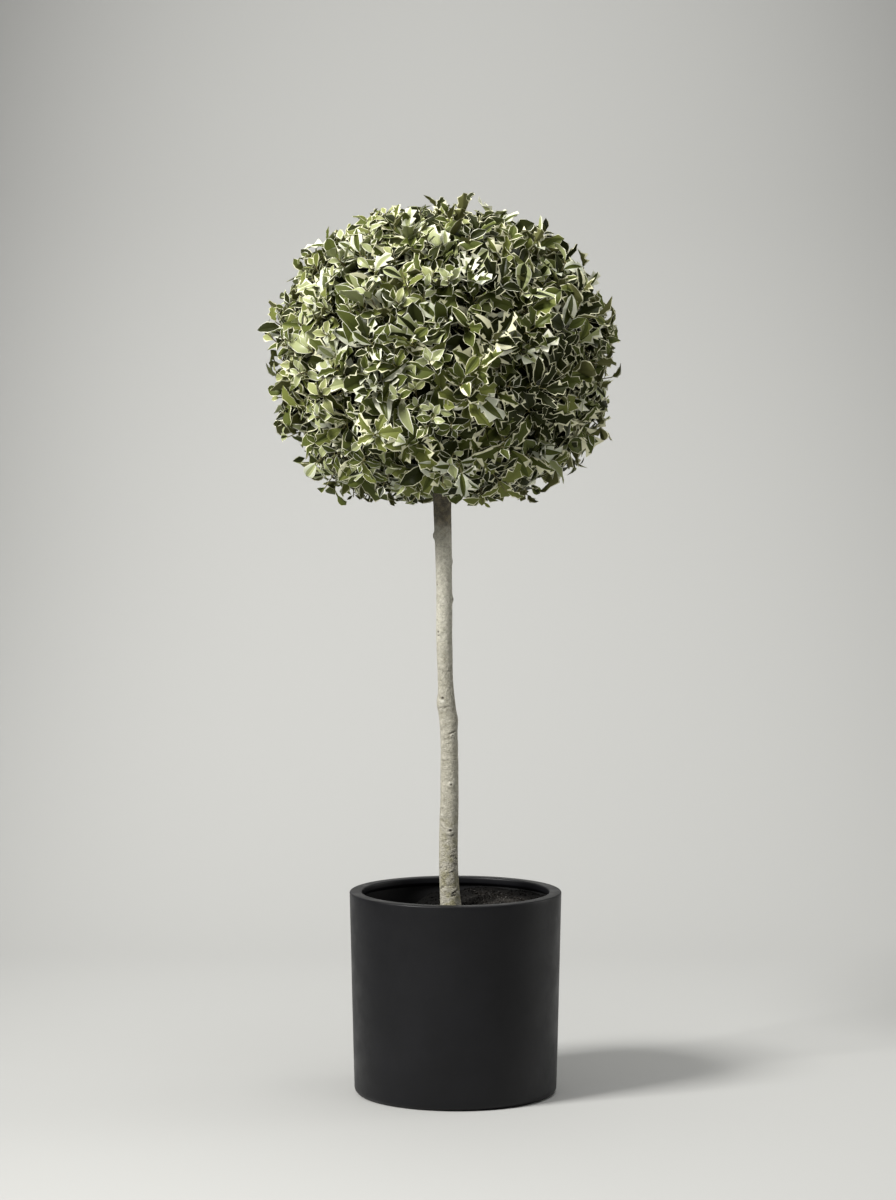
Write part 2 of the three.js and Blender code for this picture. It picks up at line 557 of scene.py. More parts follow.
class Dressing(NodeTree):
    """A new material: its tree, its Principled shader and the object's own coordinates."""

    def __init__(self, name: str, effects: Optional[Effects] = None, **values: object) -> None:
        """Starts a material.

        Args:
            name: its name.
            effects: the shared effects, where it uses them.
            values: the shader's plain values, by its inputs' names with _ for each space.
        """
        self.material = bpy.data.materials.new(name)
        self.material.use_nodes = True
        super().__init__(self.material.node_tree)
        self.effects = effects
        self.shader = self.tree.nodes["Principled BSDF"]
        for key, value in values.items():
            self.put(key.replace("_", " "), value)

    def put(self, name: str, value: object) -> None:
        """Feeds one of the shader's inputs."""
        self.feed(self.shader.inputs[name], value)

    @cached_property
    def place(self) -> Socket:
        """The object coordinates, which are metres in the part's frame."""
        return self.add("ShaderNodeTexCoord").outputs["Object"]

    @cached_property
    def axes(self) -> bpy.types.NodeOutputs:
        """The place's X, Y and Z."""
        return self.add("ShaderNodeSeparateXYZ", {"Vector": self.place}).outputs

    def squeezed(self, factor: float) -> Socket:
        """The place with its height scaled, so that a pattern on it gets flatter."""
        inputs = {"Vector": self.place, "Scale": (1.0, 1.0, factor)}
        return self.add("ShaderNodeMapping", inputs).outputs["Vector"]

    def mask(self, name: str) -> Socket:
        """A stored number of the piece, by its attribute's name."""
        return self.add("ShaderNodeAttribute", attribute_name=name).outputs["Fac"]

    def patches(self, p: Patches) -> Socket:
        """A mask of patches at the place."""
        noise = self.noise(self.place, p.scale, p.detail, p.grain)
        return self.ramp(noise, p.low, p.high, p.least, p.most)

    def flecks(self, f: Flecks) -> Socket:
        """A mask of flecks at the place."""
        inputs = {"Place": self.place, "Scale": f.scale, "Low": f.low, "High": f.high}
        node = self.add("ShaderNodeGroup", inputs, node_tree=self.effects.flecks)
        return self.times(node.outputs["Mask"], f.share)

    def bump(self, r: Relief, further: Optional[Socket] = None) -> None:
        """Feeds an uneven surface, and a further height if there is one, into the normal."""
        inputs = {"Place": self.place, "Coarse": r.coarse, "Fine": r.fine, "Share": r.share}
        node = self.add("ShaderNodeGroup", inputs, node_tree=self.effects.relief)
        height = node.outputs["Height"]
        if further is not None:
            height = self.math("ADD", height, further)
        inputs = {"Height": height, "Strength": r.strength, "Distance": r.depth}
        self.put("Normal", self.add("ShaderNodeBump", inputs).outputs["Normal"])


# ---------------------------------------------------------------- finishes


@dataclass(frozen=True)
class PlanterFinish:
    """Matte charcoal resin with a soft bloom, fine pores and faint scuffs."""

    name: str = "charcoal_resin"
    dark: Colour = (0.0036, 0.0037, 0.0048)
    light: Colour = (0.0058, 0.0059, 0.0075)
    scuff: Colour = (0.020, 0.020, 0.021)
    sheen: float = 0.26
    bloom: Patches = Patches(9.0, 3.0, 0.32, 0.68)
    scuffs: Flecks = Flecks(620.0, 0.6, 0.78, 0.35)
    gloss: Patches = Patches(26.0, 3.0, 0.3, 0.7, 0.40, 0.50)
    pores: Relief = Relief(70.0, 900.0, 0.25, 0.25, 0.0006)

    def make(self, effects: Effects) -> Material:
        """Builds the material."""
        m = Dressing(self.name, effects, Specular_IOR_Level=self.sheen)
        base = m.blend(m.patches(self.bloom), self.dark, self.light)
        m.put("Base Color", m.blend(m.flecks(self.scuffs), base, self.scuff))
        m.put("Roughness", m.patches(self.gloss))
        m.bump(self.pores)
        return m.material


@dataclass(frozen=True)
class SoilFinish:
    """Dark potting mix: peat brown, with pale grit, and painted shade on the left and by the wall.

    The painted shade spans run along X and out from the middle.
    """

    wet: Colour = (0.0095, 0.0088, 0.0082)
    dry: Colour = (0.0300, 0.0275, 0.0250)
    grit: Colour = (0.340, 0.320, 0.295)
    shadow: Colour = (0.0034, 0.0033, 0.0032)
    dried: Patches = Patches(55.0, 5.0, 0.35, 0.65)
    grains: Flecks = Flecks(330.0, 0.62, 0.7, 0.7)
    damp_left: Span = (-0.01, 0.075, 0.98, 0.0)
    damp_edge: Span = (0.085, 0.150, 0.0, 0.9)
    crumbly: Relief = Relief(160.0, 700.0, 0.6, 0.9, 0.003)

    def make(self, effects: Effects) -> Material:
        """Builds the material."""
        m = Dressing("potting_mix", effects, Roughness=0.95, Specular_IOR_Level=0.08)
        mix = m.blend(m.patches(self.dried), self.wet, self.dry)
        mix = m.blend(m.flecks(self.grains), mix, self.grit)
        flat = m.add("ShaderNodeVectorMath", {0: m.place, 1: (1.0, 1.0, 0.0)}, operation="MULTIPLY")
        reach = m.add("ShaderNodeVectorMath", {0: flat.outputs["Vector"]}, operation="LENGTH")
        left = m.ramp(m.axes["X"], *self.damp_left)
        edge = m.ramp(reach.outputs["Value"], *self.damp_edge)
        # Painted shade: near black on the left of the stem and in a ring by the wall.
        m.put("Base Color", m.blend(m.math("MAXIMUM", left, edge), mix, self.shadow))
        m.bump(self.crumbly)
        return m.material


@dataclass(frozen=True)
class BarkFinish:
    """Smooth pale holly bark: grey-beige and banded, greener low down, browner at the top.

    Paler patches higher up are partly bleached bark and partly painted light, and the brown top is
    partly older bark and partly painted shade under the crown.

    Each range is two heights and how much of its effect shows there. The gloss is a span of the
    bands and the roughness there.
    """

    pale: Colour = (0.590, 0.565, 0.478)
    grey: Colour = (0.330, 0.315, 0.255)
    bleached: Colour = (0.640, 0.622, 0.535)
    green: Colour = (0.270, 0.250, 0.125)
    speck: Colour = (0.225, 0.208, 0.158)
    brown: Colour = (0.165, 0.130, 0.070)
    dark: Colour = (0.040, 0.029, 0.011)
    scar: Colour = (0.06, 0.048, 0.034)
    callus: Colour = (0.66, 0.645, 0.56)
    band_noise: tuple[float, float, float] = (85.0, 6.0, 0.65)
    band_squeeze: float = 1.3
    band_levels: tuple[float, float] = (0.25, 0.80)
    gloss: Span = (0.3, 0.7, 0.68, 0.88)
    ripple_noise: tuple[float, float] = (240.0, 3.0)
    ripple_squeeze: float = 3.5
    bleach_range: Span = (0.68, 0.80, 0.0, 0.8)
    bleach: Patches = Patches(60.0, 4.0, 0.20, 0.50)
    mottle: Patches = Patches(230.0, 6.0, 0.46, 0.60, grain=0.75)
    mottle_range: Span = (0.50, 0.70, 0.32, 0.44)
    algae_range: Span = (0.32, 0.52, 0.75, 0.10)
    algae: Patches = Patches(70.0, 4.0, 0.42, 0.62)
    wobble: float = 0.06
    wobble_noise: tuple[float, float] = (45.0, 3.0)
    old_range: Span = (0.936, 0.986, 0.0, 0.85)
    crust: Patches = Patches(120.0, 4.0, 0.35, 0.60)
    specks: Flecks = Flecks(900.0, 0.6, 0.68, 0.5)
    grain: Relief = Relief(180.0, 850.0, 0.5, 1.0, 0.0025)

    def make(self, effects: Effects) -> Material:
        """Builds the material."""
        m = Dressing("holly_bark", effects, Roughness=0.8)
        height = m.axes["Z"]
        bands = m.noise(m.squeezed(self.band_squeeze), *self.band_noise)
        base = m.blend(m.ramp(bands, *self.band_levels), self.pale, self.grey)
        # The first layer is paler patches from 0.68 m up: partly bleached bark, partly painted light
        # on the upper stem.
        for patches, span, colour in (
            (self.bleach, self.bleach_range, self.bleached),
            (self.mottle, self.mottle_range, self.speck),
            (self.algae, self.algae_range, self.green),
        ):
            share = m.times(m.patches(patches), m.ramp(height, *span))
            base = m.blend(share, base, colour)
        # Browner and darker at the top: partly older bark, partly painted shade under the crown.
        wobble = m.times(m.noise(m.place, *self.wobble_noise), self.wobble)
        old_bark_and_shade = m.ramp(m.math("ADD", height, wobble), *self.old_range)
        base = m.blend(old_bark_and_shade, base, m.blend(m.patches(self.crust), self.brown, self.dark))
        base = m.blend(m.flecks(self.specks), base, self.dark)
        base = m.blend(m.mask("callus"), base, self.callus)
        # Dark scar colour in the knot hollows, and painted shade in the crease bottoms.
        m.put("Base Color", m.blend(m.mask("scar"), base, self.scar))
        m.put("Roughness", m.ramp(bands, *self.gloss))
        m.bump(self.grain, m.noise(m.squeezed(self.ripple_squeeze), *self.ripple_noise))
        return m.material


@dataclass(frozen=True)
class TwigFinish:
    """Young wood: olive green where it carries leaves, brown further in."""

    name: str
    brown_share: float
    green: Colour = (0.13, 0.12, 0.045)
    brown: Colour = (0.085, 0.058, 0.032)
    patch_noise: tuple[float, float] = (75.0, 3.0)
    softness: float = 0.12
    specks: Flecks = Flecks(700.0, 0.55, 0.7, 0.4)
    grain: Relief = Relief(300.0, 1200.0, 0.5, 0.5, 0.0006)

    def make(self, effects: Effects) -> Material:
        """Builds the material."""
        m = Dressing(self.name, effects, Roughness=0.7)
        edge = 0.75 - 0.5 * self.brown_share
        patches = Patches(*self.patch_noise, edge - self.softness, edge + self.softness)
        base = m.blend(m.patches(patches), self.green, self.brown)
        m.put("Base Color", m.blend(m.flecks(self.specks), base, self.brown))
        m.bump(self.grain)
        return m.material


class LeafTone(IntEnum):
    """The material slots of a leaf piece."""

    DEEP = 0
    MID = 1
    OLIVE = 2
    MARBLED = 3
    SILVER = 4
    YOUNG = 5
    CREAM = 6
    IVORY = 7
    UNDERSIDE = 8
    STALK = 9


@dataclass(frozen=True)
class LeafFinish:
    """One plain tone of a leaf, with the gloss of its wax."""

    colour: Colour
    roughness: float = 0.60
    specular: float = 0.12
    coat: float = 0.10
    coat_roughness: float = 0.24

    def make(self, name: str) -> Material:
        """Builds the material."""
        return Dressing(
            name,
            Base_Color=self.colour,
            Roughness=self.roughness,
            Specular_IOR_Level=self.specular,
            Coat_Weight=self.coat,
            Coat_Roughness=self.coat_roughness,
        ).material


LEAF_FINISHES: dict[LeafTone, LeafFinish] = {
    LeafTone.DEEP: LeafFinish((0.018, 0.022, 0.003), specular=0.08),
    LeafTone.MID: LeafFinish((0.072, 0.087, 0.018), specular=0.08, coat=0.08),
    LeafTone.OLIVE: LeafFinish((0.138, 0.156, 0.036), coat=0.08),
    LeafTone.MARBLED: LeafFinish((0.312, 0.342, 0.155), specular=0.3, coat=0.3),
    # Silver variegation, partly a painted highlight of the glossy leaves, dealt mostly to the sunny
    # side.
    LeafTone.SILVER: LeafFinish((0.535, 0.560, 0.430), specular=0.3, coat=0.3),
    LeafTone.YOUNG: LeafFinish((0.270, 0.290, 0.115)),
    LeafTone.CREAM: LeafFinish((0.760, 0.748, 0.520), coat=0.12),
    LeafTone.IVORY: LeafFinish((0.710, 0.715, 0.570), specular=0.3, coat=0.2),
    LeafTone.UNDERSIDE: LeafFinish((0.125, 0.128, 0.046), coat=0.0),
    LeafTone.STALK: LeafFinish((0.300, 0.280, 0.100)),
}


# ---------------------------------------------------------------- planter


@dataclass
class Planter:
    """The round planter: tapered sides, a rounded foot, and a lip turned inwards at the top."""

    height: float
    top_radius: float
    foot_radius: float = 167.5 * MM
    foot_round: float = 10.0 * MM
    foot_steps: int = 6
    wall: float = 14.0 * MM
    floor: float = 18.0 * MM
    lip_width: float = 20.0 * MM
    lip_depth: float = 10.0 * MM
    lip_round: float = 2.6 * MM
    lip_lower_round: float = 1.5 * MM
    undercut: float = 5.0 * MM
    side_shares: tuple[float, ...] = (0.25, 0.5, 0.75, 0.97)
    sides: int = 160
    near: float = 0.4 * MM
    smooth_angle: float = 32.0

    def outside_at(self, height: Array | float) -> Array | float:
        """The outer radius at a height."""
        return self.foot_radius + (self.top_radius - self.foot_radius) * height / self.height

    def inside_at(self, height: Array | float) -> Array | float:
        """The inner radius of the wall at a height."""
        return self.outside_at(height) - self.wall

    def _rings(self) -> list[Ring]:
        """The rings from the foot up the outside, over the lip and down the inside."""
        turns = [math.pi / 2 * i / self.foot_steps for i in range(self.foot_steps + 1)]
        rows = [
            (
                self.foot_radius - self.foot_round * (1.0 - math.sin(turn)),
                self.foot_round * (1.0 - math.cos(turn)),
            )
            for turn in turns
        ]
        for share in self.side_shares:
            rows.append((self.outside_at(share * self.height), share * self.height))
        lip_inside = self.top_radius - self.lip_width
        lip_foot = self.height - self.lip_depth
        rows += [
            (self.top_radius, self.height),
            (lip_inside, self.height),
            (lip_inside, lip_foot),
        ]
        for level in (lip_foot - self.undercut, self.height / 2, self.floor):
            rows.append((self.inside_at(level), level))
        return [(0.0, 0.0, level, radius) for radius, level in rows]

    def build(self) -> Object:
        """Turns up the planter ring by ring from a disc, and rounds its lip.

        Returns:
            The planter.
        """
        bench = Bench.drawn_up("planter", self.sides, self._rings())
        inside = self.top_radius - self.lip_width
        for radius, drop, width, segments in (
            (self.top_radius, 0.0, self.lip_round, 5),
            (inside, 0.0, self.lip_round, 5),
            (inside, self.lip_depth, self.lip_lower_round, 3),
        ):
            bench.bevel(self._on_ring(radius, self.height - drop), width, segments)
        return bench.finish(self.smooth_angle)

    def _on_ring(self, radius: float, height: float) -> Test:
        """A test for edges that run round at a radius and height."""
        near = self.near
        return lambda p: abs(p.z - height) < near and abs(math.hypot(p.x, p.y) - radius) < near

    def dress(self, obj: Object, effects: Effects) -> None:
        """Gives the planter its resin finish, and the wall inside a duller copy with a paler base,
        which is painted light in the shaded inside.
        """
        # Painted light: the inside copy is paler than the outside resin, and has less sheen.
        inner = PlanterFinish(
            "charcoal_resin_inside",
            dark=(0.0130, 0.0130, 0.0135),
            light=(0.0190, 0.0190, 0.0196),
            sheen=0.10,
        )
        mouth = self.height - 1.5 * self.lip_depth
        for face in obj.data.polygons:
            x, y, z = face.center
            inside = math.hypot(x, y) < self.inside_at(z) + 1.0 * MM
            if inside and self.floor / 2 < z < mouth:
                face.material_index = 1
        seat(obj, "pot", "pot", PlanterFinish().make(effects), inner.make(effects))


# ---------------------------------------------------------------- soil


@dataclass
class Soil:
    """The potting mix: sunk towards the left, heaped on the right, and strewn with crumbs."""

    planter: Planter
    level: float
    sunk: float = 22.0 * MM
    sunk_from: float = 26.0 * MM
    sunk_to: float = 85.0 * MM
    heaped: float = 8.0 * MM
    heaped_from: float = -10.0 * MM
    heaped_to: float = 25.0 * MM
    lump: float = 2.2 * MM
    lump_length: float = 34.0 * MM
    clods: Sequence[tuple[float, float]] = ((0.016, 0.0035), (0.005, 0.0022))
    seat_radius: float = 34.0 * MM
    clearance: float = 0.5 * MM
    rings: int = 58
    sides: int = 220
    crumbs: int = 1900
    crumb_size: float = 1.1
    crumb_spread: float = 0.45
    crumb_limits: tuple[float, float] = (0.5, 3.6)
    crumb_lengths: tuple[float, float] = (0.7, 1.5)
    crumb_flatness: float = 0.6
    crumb_margin: float = 3.0 * MM
    seed: int = 7

    def relief(self, x: Array, y: Array) -> Array:
        """How far the soil's top lies above its level at the stem."""
        from_stem = smoothstep(np.hypot(x, y), self.seat_radius, 2 * self.seat_radius)
        wave = 2.0 / self.lump_length
        lump = np.sin(x * wave + 1.0) * np.sin(y * wave + 2.0)
        heap = self.heaped * smoothstep(x, self.heaped_from, self.heaped_to)
        sink = self.sunk * smoothstep(-x, self.sunk_from, self.sunk_to)
        return from_stem * (self.lump * lump + heap) - sink

    def build(self) -> Object:
        """Raises the plug of soil from the planter's floor and rakes its top.

        Returns:
            The soil, a closed solid.
        """
        floor = self.planter.floor + self.clearance
        edge = self.planter.inside_at(self.level) - self.clearance
        rings = [(0.0, 0.0, floor, self.planter.inside_at(floor) - self.clearance)]
        for ring in range(self.rings + 1):
            rings.append((0.0, 0.0, self.level, edge * (1.0 - ring / (self.rings + 1))))
        obj = Bench.drawn_up("potting_soil", self.sides, rings).finish()
        self._rake(obj)
        return obj

    def _rake(self, obj: Object) -> None:
        """Sinks and lumps the flat top, then roughens it."""
        rows = places(obj.data)
        on_top = rows[:, 2] > self.level - 0.1 * MM
        rows[on_top, 2] += self.relief(rows[on_top, 0], rows[on_top, 1])
        inside = self.planter.inside_at(rows[:, 2]) - self.clearance
        out = np.maximum(np.hypot(rows[:, 0], rows[:, 1]), 1e-6)
        rows[:, :2] *= np.where(on_top, np.minimum(1.0, inside / out), 1.0)[:, None]
        set_places(obj.data, rows)
        group = obj.vertex_groups.new(name="top")
        rim = self.planter.inside_at(self.level) - 2.0 * MM
        inner = on_top & (np.hypot(rows[:, 0], rows[:, 1]) < rim)
        group.add(np.flatnonzero(inner).tolist(), 1.0, "REPLACE")
        for size, depth in self.clods:
            roughen(obj, "clods", size, depth, direction="Z", vertex_group="top")

    def scatter(self, effects: Effects) -> Object:
        """Strews crumbs of peat and bark over the soil.

        Args:
            effects: the shared effects.

        Returns:
            The crumbs, joined into one piece.
        """
        rng = np.random.default_rng(self.seed)
        bench = Bench("crumb", bpy.ops.mesh.primitive_ico_sphere_add, subdivisions=1, radius=1.0)
        bench.pick(Pick.VERTICES, lambda p: p.x > 0.2)
        bench.move(0.35, 0.1, -0.1)
        bench.pick(Pick.VERTICES, lambda p: p.y < -0.3)
        bench.scale(0.8, 0.9, 0.6)
        shape = Template.taken_from(bench.finish(smooth_angle=20.0))
        reach = self.planter.inside_at(self.level) - self.crumb_margin
        out = reach * np.sqrt(rng.uniform(0.0, 1.0, self.crumbs))
        turn = rng.uniform(0.0, 2 * math.pi, self.crumbs)
        x, y = out * np.cos(turn), out * np.sin(turn)
        size = rng.lognormal(math.log(self.crumb_size), self.crumb_spread, self.crumbs)
        size = np.clip(size, *self.crumb_limits) * MM
        place = np.stack([x, y, self.level + self.relief(x, y) + 0.5 * size], axis=1)
        spin = random_turns(rng, self.crumbs)
        length = size * rng.uniform(*self.crumb_lengths, self.crumbs)
        flat = np.stack([length, size, size * self.crumb_flatness], axis=1)
        copies = np.einsum("nij,vj,nj->nvi", spin, shape.vertices, flat) + place[:, None]
        joined = JoinedMesh("soil_crumbs")
        joined.add(shape, copies, np.zeros((self.crumbs, len(shape.zones)), int))
        # The crumbs take the soil's finish, with its painted shade on the left and by the wall.
        return joined.make([SoilFinish(dry=(0.030, 0.026, 0.022)).make(effects)])

    def dress(self, soil: Object, crumbs: Object, effects: Effects) -> None:
        """Gives the soil its finish and hands both pieces over."""
        seat(soil, "soil", "soil", SoilFinish().make(effects))
        seat(crumbs, "soil", "soil")


def random_turns(rng: np.random.Generator, count: int) -> Array:
    """Random rotation matrices, an array of count by 3 by 3."""
    q = rng.normal(size=(count, 4))
    q /= np.linalg.norm(q, axis=1)[:, None]
    w, x, y, z = q.T
    rows = [
        [1 - 2 * (y * y + z * z), 2 * (x * y - z * w), 2 * (x * z + y * w)],
        [2 * (x * y + z * w), 1 - 2 * (x * x + z * z), 2 * (y * z - x * w)],
        [2 * (x * z - y * w), 2 * (y * z + x * w), 1 - 2 * (x * x + y * y)],
    ]
    return np.moveaxis(np.array(rows), 2, 0)


# ---------------------------------------------------------------- stem


# Places of the stem in millimetres: height, x, y and diameter.
STATIONS = np.array(
    [
        (305, -8.0, 0.0, 32.0),
        (364, -11.0, 0.0, 31.5),
        (512, -10.0, 2.0, 30.0),
        (585, -10.5, 2.0, 28.5),
        (643, -14.0, 1.0, 28.0),
        (668, -15.7, 0.0, 26.0),
        (760, -18.4, -2.0, 26.3),
        (830, -18.5, -3.0, 26.0),
        (882, -19.5, -2.0, 27.5),
        (979, -21.8, 0.0, 30.0),
        (1060, -21.5, 0.0, 35.0),
    ]
)


@dataclass(frozen=True)
class Knot:
    """A healed cut or bud: where it sits, how far it stands out, and its hollow and callus.

    Sizes are in millimetres and turn is in degrees: 0 is +X and -90 is the front. The callus is a
    ring round the hollow, or with a drop a pale patch that far below it.
    """

    height: float
    turn: float
    proud: float
    reach: float
    hole: float = 0.0
    callus: float = 0.0
    drop: float = 0.0


@dataclass(frozen=True)
class Crease:
    """A wrinkle across the bark: its middle, half length along the girth, tilt and depth."""

    height: float
    turn: float
    half_length: float
    tilt: float
    depth: float


KNOTS = (
    Knot(437, -80, 1.8, 9, hole=2.3, callus=2.6),
    Knot(461, -136, 1.6, 6, callus=2.0),
    Knot(513, -80, 1.5, 8, hole=1.5, callus=3.0),
    Knot(594, -64, 1.1, 8, hole=1.0, callus=2.4),
    Knot(618, -8, 2.4, 16),
    Knot(646, -157, 3.2, 17),
    Knot(656, -116, 0.8, 7, hole=2.2, callus=4.2, drop=5.5),
    Knot(765, -138, 1.0, 8, hole=1.7),
    Knot(759, -136, 0.0, 5, hole=1.1),
    Knot(784, -160, 0.4, 5, hole=1.1),
    Knot(818, -6, 4.2, 5, hole=2.7),
    Knot(842, -150, 0.4, 5, hole=1.2),
    Knot(880, 0, 1.6, 5, hole=0.8),
    Knot(922, 178, 3.6, 6, hole=1.5),
)

CREASES = tuple(
    Crease(*row)
    for row in (
        (402, -48, 5, 20, 1.0), (394, -66, 5, 12, 1.2), (389, -30, 5, -15, 1.5),
        (380, -42, 4, -25, 1.2), (374, -150, 6, 20, 1.2), (368, -72, 5, 14, 0.9),
        (362, -112, 5, 30, 0.9), (357, -140, 7, -35, 1.9), (350, -122, 5, -38, 1.2),
        (346, -88, 4, 18, 0.7), (341, -145, 6, 30, 1.6), (335, -58, 6, 28, 3.4),
        (329, -70, 4, 10, 2.2), (418, -135, 7, 15, 0.9), (442, -132, 8, -30, 1.6),
        (429, -96, 5, -28, 0.9), (429, -64, 4, 28, 0.9), (449, -112, 6, -42, 1.2),
        (472, -150, 6, 12, 0.9), (506, -88, 5, -22, 0.7), (520, -90, 5, -16, 0.8),
        (552, -120, 8, 8, 0.8), (588, -100, 9, 12, 0.9), (599, -66, 7, 22, 1.8),
        (640, -120, 12, 10, 1.1), (700, -70, 10, 8, 0.7), (905, -80, 9, -8, 0.8),
    )
)


@dataclass
class BarkSurface:
    """The stem's surface as it is carved: how far it is pushed out, and where its scars and its
    painted crease shade are.

    Heights and girths are in millimetres for each vertex. groove and lip are half widths across a
    crease, and so is the width of the painted shade at its bottom; lip_off is how far the lip lies
    above its middle.
    """

    height: Array
    turn: Array
    girth: Array
    push: Array
    scar: Array
    callus: Array
    groove: float = 1.3
    lip: float = 1.6
    lip_off: float = 2.6
    stain: float = 1.2

    def _round(self, turn: float) -> Array:
        """How far round the stem from a turn, along the girth."""
        return self.girth * ((self.turn - math.radians(turn) + math.pi) % (2 * math.pi) - math.pi)

    def add_knot(self, knot: Knot) -> None:
        """Raises a knot with its callus and sinks its hollow."""
        along = self.height - knot.height
        across = self._round(knot.turn)
        self.push += knot.proud * np.exp(-1.5 * (along**2 + across**2) / knot.reach**2)
        away = np.hypot(along, across * 0.8)
        if knot.callus:
            if knot.drop:
                below = np.hypot((along + knot.drop) * 1.4, across)
                pale = np.exp(-((below / knot.callus) ** 4))
            else:
                pale = np.exp(-(((away - knot.callus) / (0.45 * knot.callus)) ** 2))
                upper = smoothstep(along, -0.4 * knot.callus, 0.6 * knot.callus)
                pale *= 0.25 + 0.75 * upper
            self.push += 0.45 * pale
            self.callus = np.maximum(self.callus, pale)
        if knot.hole:
            pit = np.exp(-((away / knot.hole) ** 2))
            self.push -= 0.9 * knot.hole * pit
            self.scar = np.maximum(self.scar, smoothstep(pit, 0.15, 0.75))

    def add_crease(self, crease: Crease) -> None:
        """Sinks a crease with a low lip over it, and darkens its bottom as painted shade, more in a
        deeper crease.
        """
        across = self._round(crease.turn)
        off = self.height - crease.height - math.tan(math.radians(crease.tilt)) * across
        fade = np.exp(-((across / crease.half_length) ** 4))
        groove = np.exp(-((off / self.groove) ** 2))
        lip = np.exp(-(((off - self.lip_off) / self.lip) ** 2))
        self.push += crease.depth * fade * (0.4 * lip - groove)
        # Painted shade: the crease bottom is darkened, the more the deeper the crease.
        dark = 0.25 + 0.6 * smoothstep(crease.depth, 0.6, 2.2)
        stain = dark * fade * np.exp(-((off / self.stain) ** 2))
        self.scar = np.maximum(self.scar, stain)


@dataclass
class Stem:
    """The bare stem, from its flat cut on the soil to the fork inside the crown."""

    foot: float
    fork: float
    flare: float = 3.0
    flare_height: float = 14.0
    flare_lobes: int = 5
    head_round: float = 26.0 * MM
    head_share: float = 0.7
    sides: int = 44
    step: float = 3.0 * MM
    lumps: Sequence[tuple[float, float]] = ((0.045, 0.0011), (0.012, 0.0005))

    def centre_at(self, height: Array | float) -> tuple[Array, Array, Array]:
        """Centre x and y and the radius at a height, all in metres.

        Args:
            height: one height or an array of heights.

        Returns:
            The centre's x, its y, and the radius.
        """
        at, x, y, diameter = STATIONS.T
        return tuple(smooth_through(at * MM, c * MM, height) for c in (x, y, diameter / 2))

    def build(self) -> Object:
        """Draws the stem up ring by ring, rounds its head and carves its bark.

        Returns:
            The stem.
        """
        count = math.ceil((self.fork - self.foot) / self.step)
        height = self.foot + (self.fork - self.foot) * np.arange(count + 1) / count
        x, y, radius = self.centre_at(height)
        head = np.clip((height - self.fork) / self.head_round + 1.0, 0.0, 1.0)
        radius = radius * np.sqrt(1.0 - self.head_share * head**2)
        rings = np.stack([x, y, height, radius], axis=1).tolist()
        obj = Bench.drawn_up("stem", self.sides, rings).finish()
        apply_modifier(obj, "SUBSURF", levels=1, render_levels=1, subdivision_type="SIMPLE")
        self._carve(obj)
        for size, depth in self.lumps:
            roughen(obj, "bark_lumps", size, depth)
        make_active(obj)
        bpy.ops.object.shade_smooth()
        return obj

    def _carve(self, obj: Object) -> None:
        """Raises the flare and knots, sinks scars and creases, and stores where they are."""
        rows = places(obj.data)
        x, y, radius = self.centre_at(rows[:, 2])
        dx, dy = rows[:, 0] - x, rows[:, 1] - y
        height, turn = rows[:, 2] / MM, np.arctan2(dy, dx)
        flare = self.flare * np.exp(-(height - self.foot / MM) / self.flare_height)
        push = flare * (0.75 + 0.25 * np.cos(self.flare_lobes * turn))
        plain = np.zeros(len(rows))
        bark = BarkSurface(height, turn, radius / MM, push, plain, plain)
        for knot in KNOTS:
            bark.add_knot(knot)
        for crease in CREASES:
            bark.add_crease(crease)
        out = np.maximum(np.hypot(dx, dy), 1e-7)
        factor = 1.0 + bark.push * MM * np.clip(out / (0.6 * radius), 0.0, 1.0) / out
        rows[:, 0] = x + dx * factor
        rows[:, 1] = y + dy * factor
        set_places(obj.data, rows)
        # The stored scar mask holds the knot hollows and the painted crease shade.
        set_mask(obj.data, "scar", bark.scar)
        set_mask(obj.data, "callus", np.clip(bark.callus - bark.scar, 0.0, 1.0))

    def dress(self, obj: Object, effects: Effects) -> None:
        """Gives the stem its bark."""
        seat(obj, "bark", "trunk", BarkFinish().make(effects))


def cubic_weights(t: Array) -> tuple[Array, Array, Array, Array]:
    """The weights of a cubic's start, start slope, end and end slope at shares t of its span."""
    return 2 * t**3 - 3 * t**2 + 1, t**3 - 2 * t**2 + t, -2 * t**3 + 3 * t**2, t**3 - t**2


def smooth_through(at: Array, values: Array, x: Array | float) -> Array:
    """A smooth curve through values at given places, by cubic Hermite pieces.

    Args:
        at: the places, rising.
        values: the value at each place.
        x: where the curve is read.

    Returns:
        The curve's value at x.
    """
    slopes = np.gradient(values, at)
    x = np.clip(np.asarray(x, float), at[0], at[-1])
    i = np.clip(np.searchsorted(at, x, side="right") - 1, 0, len(at) - 2)
    span = at[i + 1] - at[i]
    a, b, c, d = cubic_weights((x - at[i]) / span)
    return a * values[i] + b * span * slopes[i] + c * values[i + 1] + d * span * slopes[i + 1]


# ---------------------------------------------------------------- leaves


class Zone(IntEnum):
    """The parts of a leaf that can differ in tone."""

    CENTRE = 0
    FLANK = 1
    MARGIN = 2
    UNDERSIDE = 3
    STALK = 4
    PATCH = 5


class Habit(IntEnum):
    """Whether a leaf has a whole edge or spines. SHADE and SMALL leaves are cut simply."""

    WHOLE = 0
    SPINY = 1
    SHADE = 2
    SMALL = 3


